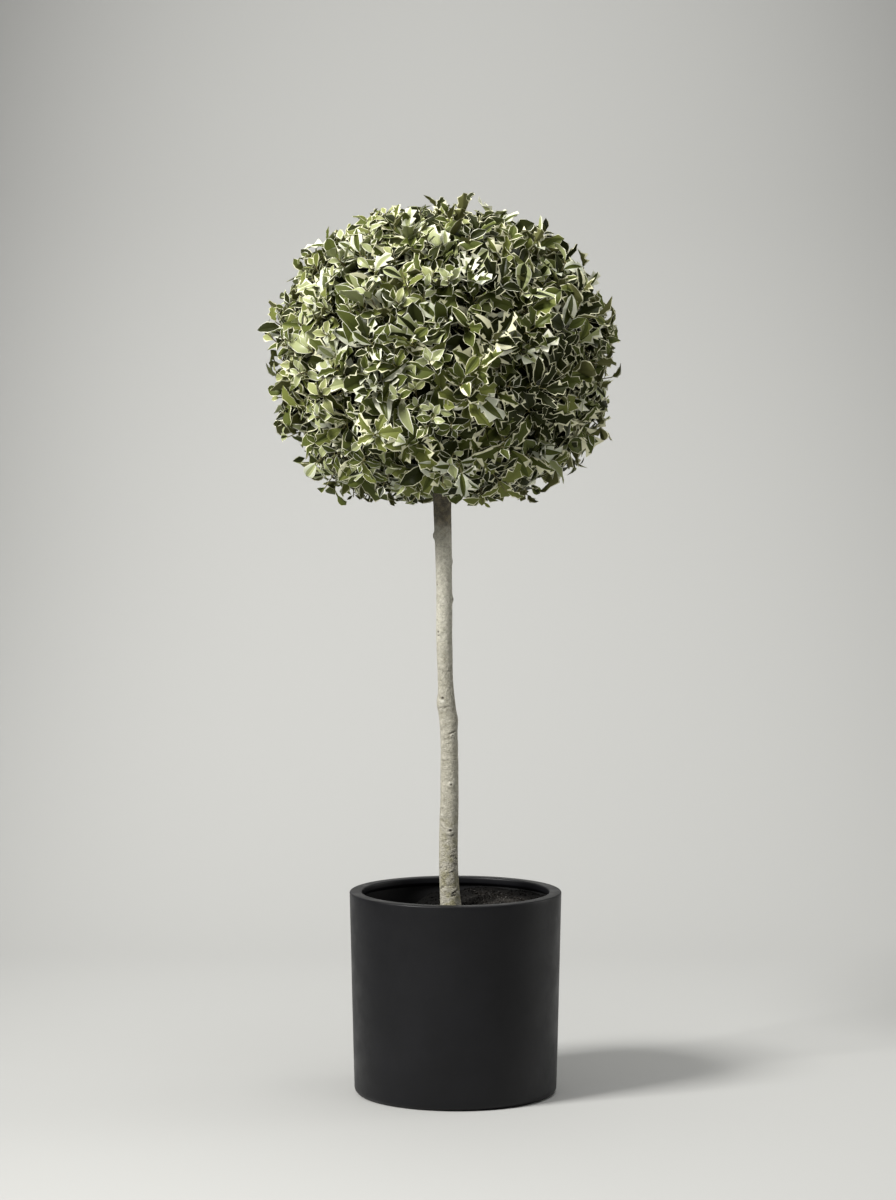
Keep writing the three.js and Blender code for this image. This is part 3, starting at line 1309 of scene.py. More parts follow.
# Places of the cross rows along a blade, and half widths there, in shares of the leaf's length.
BLADE_ROWS = (0.0, 0.08, 0.21, 0.37, 0.54, 0.71, 0.87, 1.0)
OVAL = (0.014, 0.100, 0.192, 0.250, 0.262, 0.222, 0.128, 0.0)
SPOON = (0.014, 0.066, 0.146, 0.222, 0.274, 0.282, 0.206, 0.0)
NARROW = (0.014, 0.080, 0.150, 0.190, 0.200, 0.170, 0.100, 0.0)
FEW_ROWS = (0.0, 0.16, 0.42, 0.72, 1.0)
PLAIN_OVAL = (0.014, 0.180, 0.285, 0.245, 0.0)
NOTCHED_OVAL = (0.014, 0.130, 0.340, 0.200, 0.0)
STALK_LENGTH = 0.13
FLANK_FROM = 0.42


@dataclass(frozen=True)
class LeafCut:
    """The outline and blade of one kind of leaf, in shares of the leaf's length.

    margin is where the green ends, as a share of the half width. left and right are added to the
    half width at each cross row, so that they make spines and notches. flank says whether the
    blade has a flank that can differ in tone, and patches are the rows whose flank is as pale as
    the margin, on the left (-1) or the right (1).
    """

    name: str
    habit: Habit
    share: float
    halves: tuple[float, ...] = OVAL
    rows: tuple[float, ...] = BLADE_ROWS
    margin: float = 0.90
    fold: float = 0.36
    quilt: float = 0.10
    flank: bool = False
    left: tuple[float, ...] = (0.0,) * 8
    right: tuple[float, ...] = (0.0,) * 8
    patches: tuple[tuple[int, int], ...] = ()

    def columns(self, above: bool) -> tuple[float, ...]:
        """Where the columns of the upper face or of the underside lie, in half widths."""
        right = {1.0}
        if above:
            right |= {FLANK_FROM if self.flank else self.margin, self.margin}
        elif self.habit not in (Habit.SHADE, Habit.SMALL):
            right.add(self.margin)
        return tuple(-share for share in sorted(right, reverse=True)) + (0.0, *sorted(right))


LEAF_CUTS = (
    LeafCut("spoon", Habit.WHOLE, 0.30, halves=SPOON, margin=0.925, fold=0.24, flank=True),
    LeafCut("spoon_folded", Habit.WHOLE, 0.22, halves=SPOON, margin=0.91, fold=0.55),
    LeafCut("oval", Habit.WHOLE, 0.22, margin=0.91),
    LeafCut(
        "oval_pale", Habit.WHOLE, 0.20, margin=0.82, flank=True,
        patches=((3, 1), (4, 1), (5, 1), (2, -1)),
    ),
    LeafCut("slim", Habit.WHOLE, 0.10, halves=NARROW, margin=0.80, fold=0.55),
    LeafCut(
        "few_spines", Habit.SPINY, 0.24, margin=0.89, flank=True,
        left=(0.0, 0.0, -0.02, 0.0, 0.07, -0.05, 0.08, 0.0),
        right=(0.0, 0.0, 0.0, 0.06, -0.04, 0.08, -0.03, 0.0),
        patches=((4, -1),),
    ),
    LeafCut(
        "spiny", Habit.SPINY, 0.42, margin=0.89, fold=0.34, flank=True,
        left=(0.0, 0.0, 0.080, -0.065, 0.105, -0.080, 0.105, 0.0),
        right=(0.0, 0.055, -0.055, 0.095, -0.080, 0.105, -0.045, 0.0),
    ),
    LeafCut(
        "spiny_pale", Habit.SPINY, 0.18, margin=0.72, fold=0.48, flank=True,
        left=(0.0, 0.045, -0.045, 0.095, -0.075, 0.100, -0.045, 0.0),
        right=(0.0, 0.0, 0.08, -0.070, 0.100, -0.075, 0.105, 0.0),
        patches=((1, 1), (3, 1), (4, 1), (5, 1), (5, -1), (2, -1)),
    ),
    LeafCut(
        "slim_spiny", Habit.SPINY, 0.20, halves=NARROW, margin=0.78, fold=0.50,
        left=(0.0, 0.0, 0.065, -0.035, 0.085, -0.045, 0.075, 0.0),
        right=(0.0, 0.04, -0.03, 0.075, -0.045, 0.085, -0.025, 0.0),
    ),
    LeafCut("shade", Habit.SHADE, 1.0, halves=PLAIN_OVAL, rows=FEW_ROWS, margin=0.84),
    LeafCut("small", Habit.SMALL, 0.6, halves=PLAIN_OVAL, rows=FEW_ROWS, margin=0.84),
    LeafCut("small_notched", Habit.SMALL, 0.4, halves=NOTCHED_OVAL, rows=FEW_ROWS, margin=0.78),
)


@dataclass(frozen=True)
class LeafMaker:
    """Models each kind of leaf once, of unit length, along +Y with its upper face towards +Z.

    Edges folded by more than sharp_fold degrees are sharp. A step of the edge beyond spine_step
    is a spine, which points forward, or a notch, which is set back.
    """

    thickness: float = 0.014
    sharp_fold: float = 70.0
    spine_step: float = 0.03
    spine_reach: float = 0.080
    notch_reach: float = 0.030
    margin_wave: float = 0.05
    edge_wave: float = 0.030
    spine_wave: float = 0.5
    stalk_radii: tuple[float, float] = (0.022, 0.012)
    stalk_sunk: float = 0.05
    stalk_drop: float = 0.004

    def model(self, cut: LeafCut) -> Template:
        """Models one kind of leaf.

        Args:
            cut: its outline and blade.

        Returns:
            The leaf's template, with its zones.
        """
        upper, lower = (self._sheet(cut, above) for above in (True, False))
        make_active(upper, lower, self._stalk())
        bpy.ops.object.join()
        bpy.ops.object.mode_set(mode="EDIT")
        bpy.ops.mesh.select_all(action="SELECT")
        bpy.ops.mesh.remove_doubles(threshold=2e-4)
        mesh = bmesh.from_edit_mesh(upper.data)
        for edge in mesh.edges:
            on_midrib = all(abs(v.co.x) < 1e-6 and v.co.y > 0.0 for v in edge.verts)
            blunt = edge.calc_face_angle(0.0) < math.radians(self.sharp_fold)
            edge.smooth = blunt and not on_midrib
        bmesh.update_edit_mesh(upper.data)
        bpy.ops.object.mode_set(mode="OBJECT")
        bpy.ops.object.shade_smooth(keep_sharp_edges=True)
        return Template.taken_from(upper)

    def _sheet(self, cut: LeafCut, above: bool) -> Object:
        """One face of the blade, from a grid whose rows and columns are drawn to their places.

        Args:
            cut: the leaf's outline and blade.
            above: True for the upper face, False for the underside.

        Returns:
            The sheet, with its zones as a face attribute.
        """
        columns = cut.columns(above)
        across, along = len(columns) - 1, len(cut.rows) - 1
        grid = {"x_subdivisions": across, "y_subdivisions": along}
        bench = Bench(
            cut.name, bpy.ops.mesh.primitive_grid_add, size=2.0, location=(0, 1, 0), **grid
        )
        mesh = bmesh.from_edit_mesh(bench.obj.data)
        zone = mesh.faces.layers.int.new("zone")
        cell = {
            v: (round((v.co.x + 1.0) / 2.0 * across), round(v.co.y / 2.0 * along))
            for v in mesh.verts
        }
        for vertex, (column, row) in cell.items():
            vertex.co = self._blade_point(cut, columns[column], row, above)
        for face in mesh.faces:
            column, row = (min(cell[v][k] for v in face.verts) for k in (0, 1))
            middle = (columns[column] + columns[column + 1]) / 2
            face[zone] = self._zone(cut, middle, row, above)
        if not above:
            bmesh.ops.reverse_faces(mesh, faces=list(mesh.faces))
        bmesh.update_edit_mesh(bench.obj.data)
        bpy.ops.object.mode_set(mode="OBJECT")
        return bench.obj

    def _blade_point(self, cut: LeafCut, column: float, row: int, above: bool) -> Vector:
        """Where a grid point of the blade goes."""
        on_left = column < 0
        edge = cut.left[row] if on_left else cut.right[row]
        half = cut.halves[row]
        share = abs(column)
        if share == cut.margin:
            share += self.margin_wave * math.sin(2.3 * row + (1.0 if on_left else 3.0))
        outer = max(0.0, (share - 0.5) / 0.5)
        x = math.copysign(share * half + edge * outer, column) if column else 0.0
        reach = 0.0
        if abs(edge) > self.spine_step:
            reach = self.spine_reach if edge > 0.0 else -self.notch_reach
        y = cut.rows[row] + reach * outer**2
        z = cut.fold * abs(x)
        on_blade = 0 < row < len(cut.rows) - 1
        if share < 1.0 and above:
            z += cut.quilt * half * (1.0 - (2.0 * share - 1.0) ** 2)
        elif share < 1.0 and on_blade:
            z -= self.thickness
        if on_blade:
            wave = (self.edge_wave + self.spine_wave * abs(edge)) * outer
            z += wave * math.sin(2.9 * row + (0.0 if on_left else 1.7))
        return Vector((x, y, z))

    @staticmethod
    def _zone(cut: LeafCut, middle: float, row: int, above: bool) -> Zone:
        """Which part of the leaf a face belongs to, from the middle of its column and its row."""
        share = abs(middle)
        if share > cut.margin:
            return Zone.MARGIN
        if not above:
            return Zone.UNDERSIDE
        if not cut.flank or share < FLANK_FROM:
            return Zone.CENTRE
        return Zone.PATCH if (row, 1 if middle > 0 else -1) in cut.patches else Zone.FLANK

    def _stalk(self) -> Object:
        """The short stalk behind the blade, a three-sided spike sunk into the blade's foot."""
        foot, end = self.stalk_radii
        bench = Bench(
            "stalk",
            bpy.ops.mesh.primitive_cone_add,
            vertices=3,
            radius1=foot,
            radius2=end,
            depth=STALK_LENGTH + self.stalk_sunk,
            location=(0.0, (self.stalk_sunk - STALK_LENGTH) / 2, -self.stalk_drop),
            rotation=(-math.pi / 2, 0.0, 0.0),
        )
        mesh = bmesh.from_edit_mesh(bench.obj.data)
        zone = mesh.faces.layers.int.new("zone")
        for face in mesh.faces:
            face[zone] = Zone.STALK
        bmesh.update_edit_mesh(bench.obj.data)
        bpy.ops.object.mode_set(mode="OBJECT")
        return bench.obj


@dataclass(frozen=True)
class Palette:
    """The tones of one kind of spray, and how often it comes on the shaded and the sunny side, which
    paints shade and light into the crown's colours.
    """

    low: float
    high: float
    centre: LeafTone
    flank: LeafTone
    margin: LeafTone
    under: LeafTone = LeafTone.UNDERSIDE

    def slots(self) -> list[int]:
        """The slot of each zone, in the order of Zone."""
        return [self.centre, self.flank, self.margin, self.under, LeafTone.STALK, self.margin]


# Paler palettes come more on the sunny side and darker ones on the shaded side: painted light,
# highlight and shade.
PALETTES = (
    Palette(0.50, 0.06, LeafTone.DEEP, LeafTone.DEEP, LeafTone.CREAM),
    Palette(0.22, 0.22, LeafTone.MID, LeafTone.MID, LeafTone.CREAM),
    Palette(0.07, 0.14, LeafTone.MID, LeafTone.OLIVE, LeafTone.CREAM),
    Palette(0.09, 0.12, LeafTone.DEEP, LeafTone.MARBLED, LeafTone.IVORY),
    Palette(0.03, 0.24, LeafTone.MID, LeafTone.SILVER, LeafTone.IVORY, LeafTone.MARBLED),
    Palette(0.02, 0.22, LeafTone.MARBLED, LeafTone.SILVER, LeafTone.IVORY, LeafTone.MARBLED),
    Palette(0.05, 0.22, LeafTone.OLIVE, LeafTone.OLIVE, LeafTone.CREAM),
    Palette(0.08, 0.03, LeafTone.DEEP, LeafTone.MID, LeafTone.MARBLED),
    Palette(0.00, 0.02, LeafTone.YOUNG, LeafTone.YOUNG, LeafTone.CREAM),
    # Painted shade for the inner sprays: dark tones, with dark margins in place of cream.
    Palette(0.00, 0.00, LeafTone.DEEP, LeafTone.DEEP, LeafTone.STALK),
)
PAINTED_SHADE_PALETTE = len(PALETTES) - 1
YOUNG_PALETTE = len(PALETTES) - 2
PALE_PALETTES = (YOUNG_PALETTE, 5)
ODD_PALETTES = (0, 0, 1, 2, 3, 4)


# ---------------------------------------------------------------- crown


@dataclass
class Outline:
    """The clipped outline: half an ellipsoid above, a deeper one below, and a flat underside."""

    centre: Array
    radius: float
    rise: float
    drop: float
    depth: float = 1.32
    corner: float = 16.0

    def reach(self, direction: Array) -> Array:
        """Distance from the centre to the outline along unit directions."""
        z = direction[..., 2]
        across = np.hypot(direction[..., 0], direction[..., 1]) / self.radius
        along = np.abs(z) / np.where(z > 0.0, self.rise, self.depth * self.drop)
        ball = np.hypot(across, along)
        underside = np.maximum(-z, 0.0) / self.drop
        return (ball**self.corner + underside**self.corner) ** (-1.0 / self.corner)

    def level(self, points: Array) -> Array:
        """How far out points are: 0 at the centre and 1 on the outline."""
        offset = points - self.centre
        distance = np.maximum(np.linalg.norm(offset, axis=-1), 1e-9)
        return distance / self.reach(offset / distance[..., None])


@dataclass
class Gathered:
    """Things of one kind, with one array for each of their properties."""

    @classmethod
    def joined(cls, parts: Sequence["Gathered"]) -> "Gathered":
        """Several gatherings as one."""
        return cls(*(np.concatenate(rows) for rows in zip(*(vars(p).values() for p in parts))))


@dataclass
class Sprays(Gathered):
    """Every spray of leaves: its tip, axis, length of leafy twig, level, palette and habit."""

    tip: Array
    axis: Array
    length: Array
    level: Array
    palette: Array
    habit: Array


@dataclass
class Leaves(Gathered):
    """Every leaf: its spray, foot, directions, size, cut, bends and palette."""

    spray: Array
    foot: Array
    along: Array
    up: Array
    size: Array
    cut: Array
    arch: Array
    twist: Array
    sway: Array
    palette: Array


@dataclass(frozen=True)
class Layer:
    """One depth of the crown: how many sprays, how far out they reach, and what they carry.

    Levels are shares of the outline and lengths are metres. The level is a mean and a spread
    between two limits.
    """

    sprays: int
    level: tuple[float, float]
    limits: tuple[float, float]
    leaves: tuple[int, int]
    leaf_length: tuple[float, float]
    spray_length: tuple[float, float]
    shaded: bool = False
    sun_loving: bool = False


LAYERS = (
    Layer(580, (0.950, 0.040), (0.86, 1.02), (6, 9), (0.032, 0.058), (0.020, 0.042)),
    Layer(230, (0.80, 0.04), (0.72, 0.86), (6, 8), (0.034, 0.050), (0.030, 0.050), shaded=True),
    Layer(
        320, (0.985, 0.030), (0.92, 1.03), (4, 6), (0.014, 0.028), (0.014, 0.026), sun_loving=True
    ),
    Layer(60, (1.035, 0.014), (1.01, 1.06), (3, 5), (0.024, 0.042), (0.020, 0.035)),
)


def unit(rows: Array) -> Array:
    """Rows scaled to length 1."""
    return rows / np.maximum(np.linalg.norm(rows, axis=-1, keepdims=True), 1e-12)


def rising(x: Array, low: float, high: float, least: float, gain: float) -> Array:
    """least below low, more by the gain above high, and a smooth rise between them."""
    return least + gain * smoothstep(x, low, high)


@dataclass
class Crown:
    """The clipped ball of foliage: boughs, twigs and sprays of leaves grown from the fork.

    Each span is two levels, the value below the one and the gain above the other: of how steeply
    up a place lies for turned_up and lifted, and of how sunny its side is for the others. The
    opening is the angle in degrees between leaf and twig: at the foot, how much less at the tip,
    and its scatter. facing is how far leaves turn their upper side along the twig and outwards,
    and its scatter. arch, twist and sway are a mean and a spread.
    """

    outline: Outline
    stem: Stem
    scatter: float = 0.70
    axis_scatter: float = 0.26
    stem_clearance: float = 0.045
    start_inside: float = 0.1
    sunny_side: tuple[float, float, float] = (-0.92, -0.34, -0.10)
    window: tuple[float, float, float] = (-0.10, -0.16, 0.22)
    turned_up: Span = (-0.75, 0.15, 0.0, 0.50)
    lifted: Span = (-0.65, 0.05, 0.10, 0.45)
    sun_chance: Span = (-0.3, 0.6, 0.16, 0.84)
    whole_chance: Span = (-0.2, 0.7, 0.18, 0.62)
    # How far each spray's palette leans to its sunny chances: painted light and shade.
    lit: Span = (-0.18, 0.45, 0.0, 1.0)
    young_above: float = 0.72
    young_share: float = 0.16
    pale_share: float = 0.46
    strayed_share: float = 0.2
    odd_share: float = 0.25
    turn_scatter: float = 0.25
    opening: tuple[float, float, float] = (80.0, 34.0, 12.0)
    facing: tuple[float, float, float] = (0.55, 0.95, 0.30)
    size_bias: tuple[float, float] = (2.6, 1.3)
    end_from: float = 0.85
    end_sizes: tuple[float, float] = (0.55, 0.92)
    arch: tuple[float, float] = (0.24, 0.20)
    twist: tuple[float, float] = (0.0, 0.35)
    sway: tuple[float, float] = (0.0, 0.10)
    clip_passes: int = 2
    sectors: int = 5
    seed: int = 20

    def __post_init__(self) -> None:
        """Starts the random draws."""
        self.rng = np.random.default_rng(self.seed)

    def _happens(self, chance: Array | float, count: int) -> Array:
        """Draws which of count things happen, each with its chance."""
        return self.rng.uniform(0.0, 1.0, count) < chance

    def _choice(self, chances: Array) -> Array:
        """Draws one choice for each row of chances."""
        steps = np.cumsum(chances, axis=1)
        return (self.rng.uniform(0.0, steps[:, -1])[:, None] > steps).sum(axis=1)

    def _directions(self, count: int) -> Array:
        """Evenly spread directions from the centre, each shaken a little."""
        i = np.arange(count)
        z = 1.0 - (2.0 * i + 1.0) / count
        ring = np.sqrt(1.0 - z * z)
        turn = i * GOLDEN_ANGLE
        even = np.stack([ring * np.cos(turn), ring * np.sin(turn), z], axis=1)
        spacing = math.sqrt(4.0 * math.pi / count)
        return unit(even + self.rng.normal(0.0, self.scatter * spacing / 2, even.shape))

    def _spray_layer(self, layer: Layer) -> Sprays:
        """The sprays of one layer, without those that would grow through the stem."""
        rng = self.rng
        out = self._directions(layer.sprays)
        level = np.clip(rng.normal(*layer.level, len(out)), *layer.limits)
        start = self.outline.reach(out) * (level - self.start_inside)
        tip = self.outline.centre + out * start[:, None]
        x, y, _ = self.stem.centre_at(tip[:, 2])
        off_stem = np.hypot(tip[:, 0] - x, tip[:, 1] - y)
        keep = (off_stem > self.stem_clearance) | (tip[:, 2] > self.outline.centre[2])
        sunny = out @ unit(np.array(self.sunny_side))
        if layer.sun_loving:
            keep &= self._happens(rising(sunny, *self.sun_chance), len(tip))
        out, tip, level, sunny = out[keep], tip[keep], level[keep], sunny[keep]
        axis = out + rising(out[:, 2], *self.turned_up)[:, None] * UP
        axis = unit(axis + rng.normal(0.0, self.axis_scatter, axis.shape))
        length = rng.uniform(*layer.spray_length, len(tip))
        return Sprays(tip, axis, length, level, *self._palette_and_habit(layer, out[:, 2], sunny))

    def _palette_and_habit(self, layer: Layer, height: Array, sunny: Array) -> tuple[Array, Array]:
        """Draws the palette and the habit of a layer's sprays.

        Args:
            layer: the layer.
            height: how steeply up each spray lies from the centre, from -1 to 1.
            sunny: how far it lies towards the sunny side, from -1 to 1.

        Returns:
            The palettes and the habits.
        """
        count = len(sunny)
        # Painted light and shade: sprays lean to paler tones the sunnier their side.
        lit = rising(sunny, *self.lit)
        low, high = (np.array([getattr(p, name) for p in PALETTES]) for name in ("low", "high"))
        palette = self._choice(low + (high - low) * lit[:, None])
        young = (height > self.young_above) & self._happens(self.young_share, count)
        palette[young] = YOUNG_PALETTE
        whole = self._happens(rising(sunny, *self.whole_chance), count)
        habit = np.where(whole, Habit.WHOLE, Habit.SPINY)
        if layer.shaded:
            habit[:] = Habit.SHADE
            # The inner sprays take the painted shade palette.
            palette[:] = PAINTED_SHADE_PALETTE
        if layer.sun_loving:
            habit[:] = Habit.SMALL
            # Painted light: small sprays turn pale more often the sunnier they lie.
            pale = self._happens(self.pale_share * lit, count)
            palette[pale] = self.rng.choice(PALE_PALETTES, pale.sum())
        return palette, habit

    def _leaves_of(self, sprays: Sprays, layer: Layer, first: int) -> Leaves:
        """Sets leaves round each leafy twig at the golden angle, wider apart lower down.

        Args:
            sprays: the sprays of one layer.
            layer: what they carry.
            first: the index of their first spray among all.

        Returns:
            The leaves.
        """
        rng = self.rng
        least, most = layer.leaves
        count = rng.integers(least, most + 1, len(sprays.tip))
        owner = np.repeat(np.arange(len(sprays.tip)), count)
        order = np.concatenate([np.arange(n) for n in count])
        place = np.concatenate([np.arange(n) / (n - 1) for n in count])
        total = len(owner)
        axis = sprays.axis[owner]
        side = unit(np.cross(axis, np.array([0.31, 0.17, 0.93])))
        other = np.cross(axis, side)
        turn = order * GOLDEN_ANGLE + rng.uniform(0, 2 * math.pi, len(sprays.tip))[owner]
        turn += rng.normal(0.0, self.turn_scatter, total)
        radial = np.cos(turn)[:, None] * side + np.sin(turn)[:, None] * other
        wide, closing, scatter = self.opening
        opening = np.radians(wide - closing * place**1.6 + rng.normal(0.0, scatter, total))
        along = np.cos(opening)[:, None] * axis + np.sin(opening)[:, None] * radial
        outward = unit(sprays.tip[owner] - self.outline.centre)
        along = unit(along + rising(outward[:, 2], *self.lifted)[:, None] * UP)
        with_axis, with_outside, scatter = self.facing
        facing = with_axis * axis + with_outside * outward + np.array(self.window)
        facing = facing + rng.normal(0, scatter, (total, 3))
        up = unit(facing - np.sum(facing * along, axis=1)[:, None] * along)
        back = sprays.length[owner] * (1.0 - place) ** 0.9
        foot = sprays.tip[owner] - axis * back[:, None]
        smallest, largest = layer.leaf_length
        size = smallest + (largest - smallest) * rng.beta(*self.size_bias, total)
        size *= np.where(place > self.end_from, rng.uniform(*self.end_sizes, total), 1.0)
        cut, palette = self._cut_and_palette(sprays.habit[owner], sprays.palette[owner])
        bends = [rng.normal(*bend, total) for bend in (self.arch, self.twist, self.sway)]
        return Leaves(owner + first, foot, along, up, size, cut, *bends, palette)

    def _cut_and_palette(self, habit: Array, palette: Array) -> tuple[Array, Array]:
        """Draws the cut and the palette of leaves, a few of them unlike the rest of their spray.

        Args:
            habit: the habit of each leaf's spray.
            palette: its palette.

        Returns:
            The cuts and the palettes.
        """
        total = len(habit)
        strayed = self._happens(self.strayed_share, total) & (habit <= Habit.SPINY)
        habit = np.where(strayed, 1 - habit, habit)
        shares = np.array([[c.share if c.habit == h else 0.0 for c in LEAF_CUTS] for h in Habit])
        cut = self._choice(shares[habit])
        odd = self._happens(self.odd_share, total) & (habit != Habit.SHADE)
        return cut, np.where(odd, self.rng.choice(ODD_PALETTES, total), palette)

    def _leaf_points(self, leaves: Leaves, shape: Template, which: Array) -> Array:
        """The vertices of some leaves: the template arched, twisted, scaled and set in place.

        Args:
            leaves: all the leaves.
            shape: the template of the chosen ones.
            which: the indices of the chosen ones.

        Returns:
            An array of leaves by vertices by 3.
        """
        x, y, z = shape.vertices.T[:, None]
        blade = np.maximum(y, 0.0)
        arch, twist, sway = (b[which, None] for b in (leaves.arch, leaves.twist, leaves.sway))
        along, up = leaves.along[which], leaves.up[which]
        bent_x = (x + sway * blade**2)[..., None] * np.cross(along, up)[:, None]
        bent_y = (y + STALK_LENGTH)[..., None] * along[:, None]
        bent_z = (z - arch * blade**2 + twist * blade * x)[..., None] * up[:, None]
        points = (bent_x + bent_y + bent_z) * leaves.size[which, None, None]
        return points + leaves.foot[which, None]

    def _clip(self, sprays: Sprays, leaves: Leaves) -> None:
        """Slides each spray in or out until its furthest leaf meets the spray's own level."""
        for _ in range(self.clip_passes):
            tips = leaves.foot + leaves.along * (leaves.size * (1.0 + STALK_LENGTH))[:, None]
            reached = np.zeros(len(sprays.tip))
            np.maximum.at(reached, leaves.spray, self.outline.level(tips))
            out = unit(sprays.tip - self.outline.centre)
            slide = out * ((sprays.level - reached) * self.outline.reach(out))[:, None]
            sprays.tip += slide
            leaves.foot += slide[leaves.spray]

    def build(self, effects: Effects) -> list[Object]:
        """Grows the whole crown.

        Args:
            effects: the shared effects.

        Returns:
            The pieces: boughs, twigs and the leaf sectors.
        """
        layers = [self._spray_layer(layer) for layer in LAYERS]
        first, grown = 0, []
        for layer, part in zip(LAYERS, layers):
            grown.append(self._leaves_of(part, layer, first))
            first += len(part.tip)
        sprays, leaves = Sprays.joined(layers), Leaves.joined(grown)
        self._clip(sprays, leaves)
        branching = Branching(self.rng, self.stem, sprays)
        branching.grow()
        pieces = [
            branching.boughs.make([TwigFinish("bough_bark", 0.9).make(effects)]),
            branching.twigs.make([TwigFinish("twig_bark", 0.35).make(effects)]),
        ]
        return pieces + self._leaf_pieces(sprays, leaves)

    def _leaf_pieces(self, sprays: Sprays, leaves: Leaves) -> list[Object]:
        """Joins the leaves into sectors round the crown."""
        maker = LeafMaker()
        shapes = [maker.model(cut) for cut in LEAF_CUTS]
        materials = [LEAF_FINISHES[tone].make(f"leaf_{tone.name.lower()}") for tone in LeafTone]
        slots = np.array([palette.slots() for palette in PALETTES])
        offset = sprays.tip - self.outline.centre
        turn = np.arctan2(offset[:, 1], offset[:, 0]) / (2 * math.pi) + 0.5
        sector = np.minimum((turn * self.sectors).astype(int), self.sectors - 1)[leaves.spray]
        made = []
        for number in range(self.sectors):
            joined = JoinedMesh(f"leaves_{number + 1}")
            for kind, shape in enumerate(shapes):
                which = np.flatnonzero((sector == number) & (leaves.cut == kind))
                points = self._leaf_points(leaves, shape, which)
                joined.add(shape, points, slots[leaves.palette[which]][:, shape.zones])
            made.append(joined.make(materials))
        LOG.info("%d sprays, %d leaves", len(sprays.tip), len(leaves.spray))
        return made

    def dress(self, pieces: Sequence[Object]) -> None:
        """Hands every piece of the crown to the frame."""
        for piece in pieces:
            seat(piece, "foliage", "crown")


# ---------------------------------------------------------------- boughs and twigs


@dataclass
class Tubes:
    """Tapering limbs gathered into one joined mesh."""

    name: str
    vertices: list[Array] = field(default_factory=list)
    faces: list[tuple[int, ...]] = field(default_factory=list)
    count: int = 0

    def add(self, path: Array, radii: Array, sides: int) -> None:
        """Adds one limb: rings along its path, and a point at each end.

        Args:
            path: its middle line, from its foot to its tip.
            radii: its radius at each point of the path.
            sides: how many sides it has.
        """
        tangent = unit(np.gradient(path, axis=0))
        side = unit(np.cross(tangent, np.array([0.29, 0.91, 0.23])))
        other = np.cross(tangent, side)
        turn = 2 * math.pi * np.arange(sides) / sides
        cosine, sine = np.cos(turn)[None, :, None], np.sin(turn)[None, :, None]
        ring = cosine * side[:, None] + sine * other[:, None]
        rings = path[:, None] + radii[:, None, None] * ring
        foot_end = path[0] - tangent[0] * radii[0]
        tip_end = path[-1] + tangent[-1] * 2.0 * radii[-1]
        self.vertices += [rings.reshape(-1, 3), foot_end[None], tip_end[None]]
        base, last = self.count, len(path) - 1
        foot, tip = base + (last + 1) * sides, base + (last + 1) * sides + 1
        for k in range(sides):
            following = (k + 1) % sides
            for r in range(last):
                low, high = base + r * sides, base + (r + 1) * sides
                self.faces.append((low + k, low + following, high + following, high + k))
            self.faces.append((foot, base + following, base + k))
            self.faces.append((tip, base + last * sides + k, base + last * sides + following))
        self.count += (last + 1) * sides + 2

    def make(self, materials: Sequence[Material]) -> Object:
        """Makes the mesh object at the origin."""
        mesh = bpy.data.meshes.new(self.name)
        mesh.from_pydata(np.concatenate(self.vertices).tolist(), [], self.faces)
        mesh.polygons.foreach_set("use_smooth", [True] * len(mesh.polygons))
        return linked(self.name, mesh, *materials)


